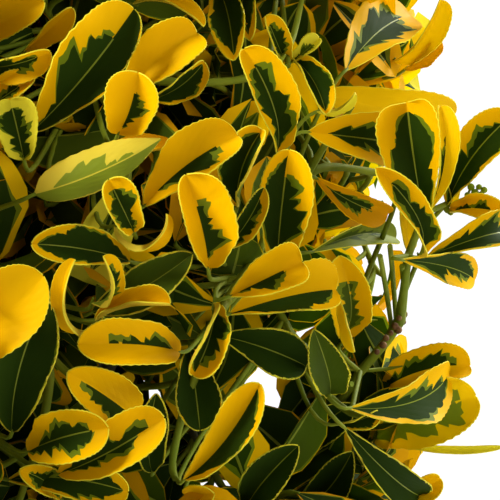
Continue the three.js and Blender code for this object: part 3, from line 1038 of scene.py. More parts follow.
@dataclass
class Growth:
    """Stem, boughs and twigs by the CAD source's rule."""

    soil_level: float = 211.0
    clearance: float = 0.3
    head_middle: Array = field(default_factory=lambda: np.array([0.0, 0.0, 800.0]))
    head_radius: float = 190.0
    trunk_tip: float = 738.0
    trunk_bow: tuple = ((0.22, 2.5, -2.0), (0.5, 5.0, 1.5), (0.8, 2.8, 2.5))
    bough_reach: float = 82.0
    bough_belly: Triple = (0.45, 9.0, 6.0)
    stem_length: float = 48.0
    stem_straight: float = 0.4
    stem_spots: tuple[float, ...] = (0.45, 0.7, 0.97)
    twig_spots: tuple[float, ...] = (0.35, 0.6)
    twig_margin: float = 2.0
    shortest: float = 36.0
    turn_cost: float = 40.0
    tries: int = 3
    eases: tuple[float, ...] = (1.0, 0.4)
    leave: float = 0.25
    arrive: float = 0.35
    cell_reach: float = 118.0
    rings: tuple[Ring, ...] = (
        Ring("upper", 4, 40.0, -70.0, 712.0, 5.0),
        Ring("middle", 5, 0.0, -34.0, 668.0, 8.0),
        Ring("lower", 4, -42.0, -25.0, 640.0, 6.0),
    )
    front_tips: tuple[Triple, ...] = (
        (190, 43, 203), (99, -7, 190), (51, -23, 191), (29, -69, 190), (35, 15, 194), (68, 40, 190),
        (121, 85, 192), (118, 26, 186), (148, 66, 190), (157, -55, 196), (80, 84, 190),
        (127, -82, 190), (83, -66, 188),
    )
    spread: tuple[int, float, float, float] = (130, -0.86, 54.0, 7.0)
    shoot_end: Pair = (0.8, 0.42)
    stem_radii: Pair = (2.4, 1.8)
    twig_radii: Pair = (1.8, 1.2)
    seed: int = 11
    places_checked: int = 8
    finer_on_stem: tuple[float, ...] = (0.3, 0.5, 0.7, 0.9)
    finer_on_twig: tuple[float, ...] = (0.2, 0.35, 0.5, 0.65, 0.8)

    def trunk_curve(self) -> Spline:
        """The middle line of the clear stem."""
        foot = np.array([0.0, 0.0, self.soil_level + self.clearance])
        rise = self.trunk_tip - foot[2]
        bows = [np.array([right, back, foot[2] + rise * up]) for up, right, back in self.trunk_bow]
        return Spline((foot, *bows, np.array([0.0, 0.0, self.trunk_tip])))

    def on_trunk(self, height: float) -> Array:
        """The point on the stem's middle line at a height."""
        share = (height - self.soil_level) / (self.trunk_tip - self.soil_level)
        return self.trunk_curve().at(min(max(share, 0.0), 1.0))

    def masses(self) -> list[Mass]:
        """Every foliage mass, the topmost first.

        Returns:
            The masses, each but the topmost with its bough.
        """
        plan = [Mass("top", UP.copy(), self.on_trunk(self.trunk_tip), UP.copy())]
        at, out, down = self.bough_belly
        for ring in self.rings:
            for i in range(ring.count):
                turn = math.radians(ring.turn + 360 / ring.count * i)
                level, rise = math.cos(math.radians(ring.elevation)), math.sin(math.radians(ring.elevation))
                facing = np.array([math.cos(turn) * level, math.sin(turn) * level, rise])
                fork = self.on_trunk(ring.fork_height + ring.stagger * ((i * 2) % ring.count))
                start = self.head_middle + facing * self.bough_reach
                flat = unit(facing * np.array([1.0, 1.0, 0.0]))
                bend = fork + (start - fork) * at + flat * out - UP * down
                bough = Bezier((fork, bend, start))
                plan.append(Mass(f"{ring.name}_{i + 1}", facing, start, bough.along(1.0), bough))
        return plan

    def keeps_to(self, mass: Mass, plan: list[Mass], point: Array, margin: float) -> bool:
        """Whether a point is nearer to a mass's own middle than to any other mass's.

        Args:
            mass: The mass.
            plan: All masses.
            point: The point.
            margin: How far from the border between two masses it has to be.

        Returns:
            True if it is.
        """
        own = self.head_middle + mass.facing * self.cell_reach
        for other in plan:
            if other is mass:
                continue
            theirs = self.head_middle + other.facing * self.cell_reach
            if float(np.dot(point - (own + theirs) / 2, unit(own - theirs))) <= margin:
                return False
        return True

    def out_from_middle(self, point: Array) -> float:
        """How far a point lies from the middle of the head."""
        return gap_between(point, self.head_middle)

    def nearest_mass(self, plan: list[Mass], point: Array) -> Mass:
        """The mass whose space a point is in."""
        away = point - self.head_middle
        return min(plan, key=lambda mass: float(np.linalg.norm(away - mass.facing * self.cell_reach)))

    def tips(self) -> list[Array]:
        """Tips of the source's shoots: the front ones as placed, then the spiral's where there is room.

        Returns:
            The tips.
        """
        random = Seeded(self.seed)
        found: list[Array] = []
        for right, above, reach in self.front_tips:
            depth = math.sqrt(max(reach**2 - right**2 - above**2, 0.0))
            found.append(self.head_middle + np.array([right, -depth, above]))
        count, lowest, apart, jitter = self.spread
        for *way, _ in spiral(count, lowest):
            reach = self.head_radius + (random.draw() * 2 - 1) * jitter
            tip = self.head_middle + np.array(way) * reach
            if all(gap_between(tip, other) > apart for other in found):
                found.append(tip)
        return found

    def shoot_way(self, tip: Array) -> Array:
        """The way a shoot points at its tip: outwards and a little up."""
        outwards, up = self.shoot_end
        return unit(unit(tip - self.head_middle) * outwards + UP * up)

    def twig_curve(self, spot: Spot, tip: Array, ease: float) -> Bezier:
        """A twig's middle line from where it branches off to its tip.

        Args:
            spot: Where it branches off.
            tip: Where it ends.
            ease: How far it keeps the directions of its two ends, as a share of the usual.

        Returns:
            The curve.
        """
        length = gap_between(tip, spot.point)
        return Bezier((
            spot.point,
            spot.point + spot.along * (length * self.leave * ease),
            tip - self.shoot_way(tip) * (length * self.arrive * ease),
            tip,
        ))

    def best_spots(self, tip: Array, spots: list[Spot], shortest: float) -> list[Spot]:
        """Places to branch from for a tip, best first: near it, and without a sharp turn.

        Args:
            tip: The tip.
            spots: All places.
            shortest: How far off a place has to be.

        Returns:
            The few best.
        """
        ranked = []
        for spot in spots:
            gap = tip - spot.point
            length = float(np.linalg.norm(gap))
            if length > shortest:
                ranked.append((length + self.turn_cost * (1 - float(np.dot(gap, spot.along)) / length), spot))
        return [spot for _, spot in sorted(ranked, key=lambda pair: pair[0])[: self.tries]]

    def fitting_curve(
        self, mass: Mass, plan: list[Mass], tip: Array, spots: list[Spot]
    ) -> Bezier | None:
        """The first curve to a tip that stays in its mass's own space, tried from the best spot on.

        Args:
            mass: The mass that the tip belongs to.
            plan: All masses.
            tip: The tip.
            spots: Places to branch from, best first.

        Returns:
            The curve, or none if none of them stays there.
        """
        for spot in spots:
            for ease in self.eases:
                curve = self.twig_curve(spot, tip, ease)
                line = curve.line(self.places_checked)
                if all(self.keeps_to(mass, plan, point, self.twig_margin) for point in line):
                    return curve
        return None

    def grow(self) -> tuple[list[Shoot], dict[str, list[Spot]]]:
        """The source's stems and twigs, and the places along them that finer shoots leave from.

        Returns:
            The shoots, and the places of each mass by its name.
        """
        plan, tips = self.masses(), self.tips()
        shoots: list[Shoot] = []
        finer: dict[str, list[Spot]] = {}
        for mass in plan:
            foot = mass.start + mass.way * self.clearance
            head = self.head_middle + mass.facing * (self.bough_reach + self.stem_length)
            stem = Bezier((foot, foot + mass.way * (self.stem_length * self.stem_straight), head))
            shoots.append(Shoot(stem, *self.stem_radii, 0))
            spots = spots_on(stem, self.stem_spots)
            young = spots_on(stem, self.finer_on_stem)
            own = [tip for tip in tips if self.keeps_to(mass, plan, tip, self.twig_margin)]
            own.sort(key=lambda tip: gap_between(tip, head))
            for tip in own:
                curve = self.fitting_curve(mass, plan, tip, self.best_spots(tip, spots, self.shortest))
                if curve:
                    shoots.append(Shoot(curve, *self.twig_radii, 1))
                    spots += spots_on(curve, self.twig_spots)
                    young += spots_on(curve, self.finer_on_twig)
            finer[mass.name] = young
        return shoots, finer


@dataclass(frozen=True)
class LeafPlace:
    """Where one leaf of a spray stands."""

    frame: Array
    size: float
    variant: int
    tone: Skin
    dark: Skin


@dataclass
class Sprays:
    """Finer shoots through the whole head, and the leaves on all shoots but the front ones."""

    growth: Growth
    view: PhotoView
    candidates: int = 1900
    lowest: float = -0.93
    apart: float = 25.0
    shortest: float = 12.0
    layers: tuple[Pair, ...] = ((178.0, 202.0), (150.0, 172.0), (108.0, 138.0))
    # Shoots that end below this height are in painted shade: greener leaves with deeper rims.
    shade_height: float = 752.0
    front_reach: float = 156.0
    clear_reach: float = 178.0
    bare_reach: float = 150.0
    deep: float = 176.0
    sky_margin: float = 12.0
    near_frame: float = 10.0
    hole_share: float = 0.22
    foot_gap: float = 2.5
    foot_margin: float = 5.0
    leaf_length: float = 51.0
    pairs: int = 4
    deep_pairs: int = 3
    pair_spacing: float = 9.0
    first_pair: float = 1.5
    olive_share: float = 0.3
    seeds: tuple[int, int, int] = (29, 53, 71)
    facing: float = 0.1
    shoot_radii: Pair = (1.25, 0.85)
    line_steps: int = 60
    leafy_share: float = 0.85
    slant: Triple = (0.31, 0.22, 0.92)
    open_more: float = 12.0
    lift: float = 0.25
    face_back: float = 0.45
    face_turn: float = 28.0
    size_range: Pair = (0.82, 1.08)
    openings: tuple[float, ...] = (30.0, 50.0, 64.0, 74.0)
    pair_sizes: tuple[float, ...] = (0.78, 1.0, 1.0, 0.9)
    variants_each: int = 6
    head_edge: tuple[Pair, ...] = (
        (-200, 470), (0, 440), (30, 438), (60, 402), (90, 436), (112, 452), (130, 436), (160, 404),
        (200, 398), (240, 408), (300, 402), (342, 402), (372, 452), (436, 446), (458, 428), (500, 432),
        (620, 440),
    )
    sky_holes: tuple[Triple, ...] = (
        (265, 390, 12), (352, 244, 9), (400, 165, 10), (210, 486, 9), (155, 390, 5), (308, 330, 7),
        (26, 446, 5),
    )

    def in_photo(self, point: Array, margin: float = 30.0) -> bool:
        """Whether the photograph's frame shows the place, with a margin in pixels."""
        x, y, _ = self.view.project(point)
        edge = self.view.frame_px + margin
        return -margin < x < edge and -margin < y < edge

    def faces_photo(self, point: Array) -> bool:
        """Whether a place on the head is on the side that the photograph shows."""
        out = unit(point - self.growth.head_middle)
        towards = unit(self.view.eye() - point)
        return float(np.dot(out, towards)) > self.facing

    def against_sky(self, point: Array) -> bool:
        """Whether a place would show where the photograph has white beside the head."""
        x, y, _ = self.view.project(point)
        heights, edges = zip(*self.head_edge)
        beside = x > float(np.interp(y, heights, edges)) - self.sky_margin
        return beside and heights[0] < y < heights[-1]

    def finer_tips(self) -> list[Array]:
        """Tips of the finer shoots, outer and inner by turns, set back where front leaves stand.

        Returns:
            The tips.
        """
        random = Seeded(self.seeds[0])
        found: list[Array] = []
        for *way, i in spiral(self.candidates, self.lowest):
            reach = random.between(*self.layers[i % len(self.layers)])
            tip = self.growth.head_middle + np.array(way) * reach
            if self.in_photo(tip) and self.faces_photo(tip):
                tip = self.growth.head_middle + np.array(way) * min(reach, self.front_reach)
            if not self.in_white(tip) and all(gap_between(tip, other) > self.apart for other in found):
                found.append(tip)
        return found

    def in_white(self, point: Array) -> bool:
        """Whether something here would stand before the photograph's white."""
        return self.in_photo(point, self.near_frame) and self.against_sky(point)

    def grow(self, spots: dict[str, list[Spot]]) -> list[Shoot]:
        """Grows the finer shoots on the source's twigs by the same rule.

        Args:
            spots: Places to branch from, for each mass by its name.

        Returns:
            The finer shoots.
        """
        plan = self.growth.masses()
        shoots = []
        for tip in self.finer_tips():
            mass = self.growth.nearest_mass(plan, tip)
            best = self.growth.best_spots(tip, spots[mass.name], self.shortest)
            if best:
                shoots.append(Shoot(self.growth.twig_curve(best[0], tip, 1.0), *self.shoot_radii, 2))
        return shoots

    def blades(self) -> list[LeafShape]:
        """The leaf shapes that the sprays use, a few of each pattern: first fine ones, then plain ones.

        Returns:
            Shapes of length one.
        """
        random = Seeded(self.seeds[1])
        kinds = [(plain, blade) for plain in (False, True) for blade in Blade]
        return [
            LeafShape(
                width=random.between(0.5, 0.62),
                fold=random.between(4, 24),
                bow=random.between(-8, 42),
                curl=random.between(-6, 58),
                twist=random.between(-22, 22),
                wave=random.between(0.02, 0.07),
                left=blade,
                right=blade,
                rows=6 if plain else 8,
                taper=blade_taper(blade),
                spoon=random.between(0.1, 0.9),
                sweep=random.between(-0.05, 0.05),
                plain=plain,
                seed=int(random.between(1, 9999)),
            )
            for plain, blade in kinds
            for _ in range(self.variants_each)
        ]

    def place_leaves(self, shoots: list[Shoot]) -> tuple[list[LeafPlace], list[bool]]:
        """Stands leaves in crossed pairs along the end of every shoot.

        Args:
            shoots: The shoots, old and young.

        Returns:
            The places of the leaves, and for each shoot whether it bears any.
        """
        random = Seeded(self.seeds[2])
        order = list(Blade)
        places: list[LeafPlace] = []
        leafy = [False] * len(shoots)
        for shoot_number, shoot in enumerate(shoots):
            if shoot.age == 0:
                continue
            length, end = shoot.curve.length(), shoot.curve.at(1.0)
            deep = self.growth.out_from_middle(end) < self.deep
            shaded = float(end[2]) < self.shade_height
            # Sprays deep in the head or low on it take the deeper rims: painted shade.
            tone = self.tone_of(random.draw(), deep or shaded)
            turn = random.draw() * math.pi
            for pair in range(self.deep_pairs if deep else self.pairs):
                back = self.first_pair + pair * self.pair_spacing
                if back > length * self.leafy_share:
                    break
                t = 1 - back / length
                foot, along = shoot.curve.at(t), shoot.curve.along(t)
                aside = unit(np.cross(along, np.array(self.slant)))
                for half in range(2):
                    out = around(aside, along, turn + pair * math.pi / 2 + half * math.pi)
                    more = random.between(-self.open_more, self.open_more)
                    open_by = math.radians(self.openings[pair] + more)
                    way = along * math.cos(open_by) + out * math.sin(open_by)
                    way = unit(way + UP * random.between(0.0, self.lift))
                    face_turn = math.radians(random.between(-self.face_turn, self.face_turn))
                    face = around(along - out * self.face_back, way, face_turn)
                    size = self.leaf_length * self.pair_sizes[pair] * random.between(*self.size_range)
                    # Leaves low on the head and deep in it take the greener tables, partly as painted shade.
                    blade = self.blade_of(random.draw(), 2 if shaded else int(deep or pair == 3))
                    number = int(random.draw() * self.variants_each)
                    dark = Skin.OLIVE if random.draw() < self.olive_share else Skin.DARK_GREEN
                    if self.in_the_way(foot, foot + way * size):
                        continue
                    kind = order.index(blade) + len(order) * deep
                    variant = kind * self.variants_each + number
                    places.append(LeafPlace(leaf_frame(foot, way, face), size, variant, tone, dark))
                    leafy[shoot_number] = True
        return places, leafy

    def needed_reach(self, shoot: Shoot, starts: list[Array], least: float) -> float:
        """How far out a bare shoot is drawn, so that the leafy shoots that grow on it have a foot.

        Args:
            shoot: The bare shoot.
            starts: Where leafy shoots begin.
            least: How far it is drawn if none of them grows on it.

        Returns:
            A distance from the middle of the head.
        """
        line = shoot.curve.line(self.line_steps)
        on_it = [p for p in starts if float(np.min(np.linalg.norm(line - p, axis=1))) < self.foot_gap]
        return max([least, *(self.growth.out_from_middle(p) + self.foot_margin for p in on_it)])

    def in_the_way(self, foot: Array, tip: Array) -> bool:
        """Whether a leaf would stand before the front leaves or against the photograph's white.

        Args:
            foot: The leaf's foot.
            tip: The leaf's tip.

        Returns:
            True if it would.
        """
        centre = (foot + tip) / 2
        if self.in_white(tip) or self.in_white(centre):
            return True
        seen = [self.view.project(p)[:2] for p in (foot, centre, tip)]
        for hole_x, hole_y, hole_radius in self.sky_holes:
            keep_off = hole_radius + self.hole_share * self.leaf_length / self.view.size_of_pixel(centre)
            if any(math.hypot(x - hole_x, y - hole_y) < keep_off for x, y in seen):
                return True
        far_out = self.growth.out_from_middle(tip) > self.clear_reach
        framed = self.in_photo(centre, self.near_frame) or self.in_photo(tip, 0.0)
        return far_out and framed and self.faces_photo(centre)

    def tone_of(self, chance: float, deep: bool) -> Skin:
        """The rim colour of a spray: bright outside, as painted light; deeper inside and low on the head, as
        painted shade.

        Args:
            chance: A draw from 0 to 1.
            deep: Whether the spray is inside the head or in the shade low on it; its deeper rim there is
                painted shade.

        Returns:
            The colour.
        """
        return next(tone for tone, most in (PAINTED_SHADE_TONES if deep else OUTER_TONES) if chance < most)

    def blade_of(self, chance: float, age: int) -> Blade:
        """The pattern of a leaf: old ones are greener, partly as painted shade deep in the head, and shaded
        ones are greener as painted shade.

        Args:
            chance: A draw from 0 to 1.
            age: 0 for a young leaf, 1 for an old one, 2 for one in the shade under the head, greener there as
                painted shade.

        Returns:
            The pattern.
        """
        return BLADE_ORDER[sum(chance > step for step in BLADE_STEPS[age])]


def point_cloud(name: str, places: list[LeafPlace]) -> Object:
    """Makes one vertex for each leaf, with its turn, size and shape number as attributes.

    Args:
        name: The mesh's name.
        places: Where the leaves stand.

    Returns:
        The object.
    """
    mesh = bpy.data.meshes.new(name)
    mesh.from_pydata([(p.frame[:3, 3] * MM).tolist() for p in places], [], [])
    eulers = [tuple(Matrix(p.frame[:3, :3].tolist()).to_euler()) for p in places]
    columns = (
        ("turn", "FLOAT_VECTOR", "vector", np.array(eulers, dtype=np.float32).ravel()),
        ("size", "FLOAT", "value", np.array([p.size * MM for p in places], dtype=np.float32)),
        ("shape", "INT", "value", np.array([p.variant for p in places], dtype=np.int32)),
    )
    for title, kind, part, values in columns:
        mesh.attributes.new(title, kind, "POINT").data.foreach_set(part, values)
    return linked(name, mesh)


def feed_attribute(tree: NodeTree, name: str, kind: str, target: Node, into: str | int) -> None:
    """Feeds a node's input from a named attribute."""
    node = new_node(tree, "GeometryNodeInputNamedAttribute", {"Name": name}, data_type=kind)
    read = next(socket for socket in node.outputs if socket.enabled and socket.name == "Attribute")
    tree.links.new(read, target.inputs[into])


def spray_tree() -> NodeTree:
    """Geometry Nodes that stand a leaf shape on each point.

    Returns:
        The tree.
    """
    inputs = {"Places": "Geometry", "Leaf Shapes": "Collection", "Leaf Scale": "Float", "Skin": "Material"}
    tree, start, end = new_tree("leaf_sprays", "Geometry", inputs, {"Leaves": "Geometry"})
    apart = {"Separate Children": True, "Reset Children": True}
    shapes = new_node(tree, "GeometryNodeCollectionInfo", apart)
    turned, scaled = new_node(tree, "FunctionNodeEulerToRotation"), math_node(tree, "MULTIPLY")
    stand = new_node(tree, "GeometryNodeInstanceOnPoints", {"Pick Instance": True})
    feed_attribute(tree, "turn", "FLOAT_VECTOR", turned, "Euler")
    feed_attribute(tree, "size", "FLOAT", scaled, 0)
    feed_attribute(tree, "shape", "INT", stand, "Instance Index")
    wire(
        tree,
        (start, "Places", stand, "Points"), (start, "Leaf Shapes", shapes, "Collection"),
        (shapes, "Instances", stand, "Instance"), (turned, "Rotation", stand, "Rotation"),
        (start, "Leaf Scale", scaled, 1), (scaled, "Value", stand, "Scale"),
    )
    real_and_dressed(tree, start, stand, "Instances", end)
    return tree


def give_nodes(piece: Object, tree: NodeTree, values: dict[str, object]) -> None:
    """Gives an object a Geometry Nodes modifier.

    Args:
        piece: The object.
        tree: The Geometry Nodes tree.
        values: Its inputs by name, each of them set through its socket's identifier.
    """
    modifier = piece.modifiers.new(tree.name, "NODES")
    modifier.node_group = tree
    for item in tree.interface.items_tree:
        if getattr(item, "in_out", "") == "INPUT" and item.name in values:
            modifier[item.identifier] = values[item.name]


def limb_tree() -> NodeTree:
    """Geometry Nodes that sweep a round section along polylines by their own radius.

    Returns:
        The tree.
    """
    inputs = {"Lines": "Geometry", "Sides": "Int", "Skin": "Material"}
    tree, start, end = new_tree("twig_sweep", "Geometry", inputs, {"Twigs": "Geometry"})
    curve = new_node(tree, "GeometryNodeMeshToCurve")
    ring = new_node(tree, "GeometryNodeCurvePrimitiveCircle", {"Radius": 1.0})
    sweep = new_node(tree, "GeometryNodeCurveToMesh", {"Fill Caps": True})
    feed_attribute(tree, "thickness", "FLOAT", sweep, "Scale")
    wire(
        tree,
        (start, "Lines", curve, "Mesh"), (start, "Sides", ring, "Resolution"),
        (curve, "Curve", sweep, "Curve"), (ring, "Curve", sweep, "Profile Curve"),
    )
    real_and_dressed(tree, start, sweep, "Mesh", end)
    return tree


@dataclass
class TwigLines:
    """Polylines with a radius at each point, swept into one piece."""

    points: list[Array] = field(default_factory=list)
    radii: list[float] = field(default_factory=list)
    edges: list[tuple[int, int]] = field(default_factory=list)
    nodes_every: float = 9.0
    first_node: float = 1.5
    node_swell: float = 0.18
    end_taper: float = 0.3

    def add(self, line: Array, radii: list[float]) -> None:
        """Adds one polyline."""
        start = len(self.points)
        self.points += list(line)
        self.radii += radii
        self.edges += [(start + i, start + i + 1) for i in range(len(line) - 1)]

    def add_shoot(self, shoot: Shoot, steps: int, middle: Array, reach: float) -> None:
        """Adds a shoot, a little thicker where its leaf pairs stand.

        Args:
            shoot: The shoot.
            steps: How many straight pieces it is drawn in.
            middle: The middle of the head.
            reach: How far from there the shoot is drawn.
        """
        line, length = shoot.curve.line(steps), shoot.curve.length()
        radii = []
        for i in range(steps + 1):
            from_node = abs((length * (1 - i / steps)) % self.nodes_every - self.first_node)
            joint = self.node_swell * (from_node < length / steps / 2)
            radii.append(shoot.foot_radius + (shoot.tip_radius - shoot.foot_radius) * i / steps + joint)
        kept = int(np.sum(np.linalg.norm(line - middle, axis=1) < reach))
        if kept > 1:
            radii[kept - 1] *= self.end_taper
            self.add(line[:kept], radii[:kept])

    def build(self, name: str, sides: int, material: Material) -> Object:
        """Sweeps all lines into one plain mesh.

        Args:
            name: The name of the piece.
            sides: Faces round each line.
            material: Its surface.

        Returns:
            The piece.
        """
        mesh = bpy.data.meshes.new(name)
        mesh.from_pydata((np.array(self.points) * MM).tolist(), self.edges, [])
        thick = mesh.attributes.new("thickness", "FLOAT", "POINT")
        thick.data.foreach_set("value", np.array(self.radii, dtype=np.float32) * MM)
        source = linked(f"{name}_lines", mesh)
        tree = bpy.data.node_groups.get("twig_sweep") or limb_tree()
        give_nodes(source, tree, {"Sides": sides, "Skin": material})
        return made_plain(name, source, material)


# The leaves that the photograph shows, each placed one by one


@dataclass(frozen=True)
class Leaf:
    """One leaf at the front of the head.

    Foot and tip are pixels of the 500-pixel photograph, and wide is in its pixels too. Out is how far
    foot and tip lie from the middle of the head in millimetres. Roll turns the leaf's lit side from the
    camera, to the right of a leaf that points up, in degrees as all its other angles. A leaf with no
    right pattern has the left one on both halves, and a taper of 0 stands for its pattern's own.
    """

    foot: Pair
    tip: Pair
    wide: float
    out: Pair = (180.0, 200.0)
    roll: float = 0.0
    fold: float = 12.0
    bow: float = 20.0
    curl: float = 20.0
    left: Blade = Blade.STREAKED
    right: Blade | None = None
    rim: Skin = Skin.GOLD
    dark: Skin = Skin.DARK_GREEN
    spoon: float = 0.5
    taper: float = 0.0
    lop: float = 0.0
    twist: float = 0.0


# Short names for the patterns and the colours, for the table of leaves under them
S, F, D, G, Y = Blade.STREAKED, Blade.FEATHERED, Blade.DARK, Blade.GREEN, Blade.GOLD
R, P = Blade.ROOTED, Blade.PATCHED
LEMON, AMBER, BRIGHT, OLIVE = Skin.LEMON, Skin.AMBER, Skin.BRIGHT, Skin.OLIVE
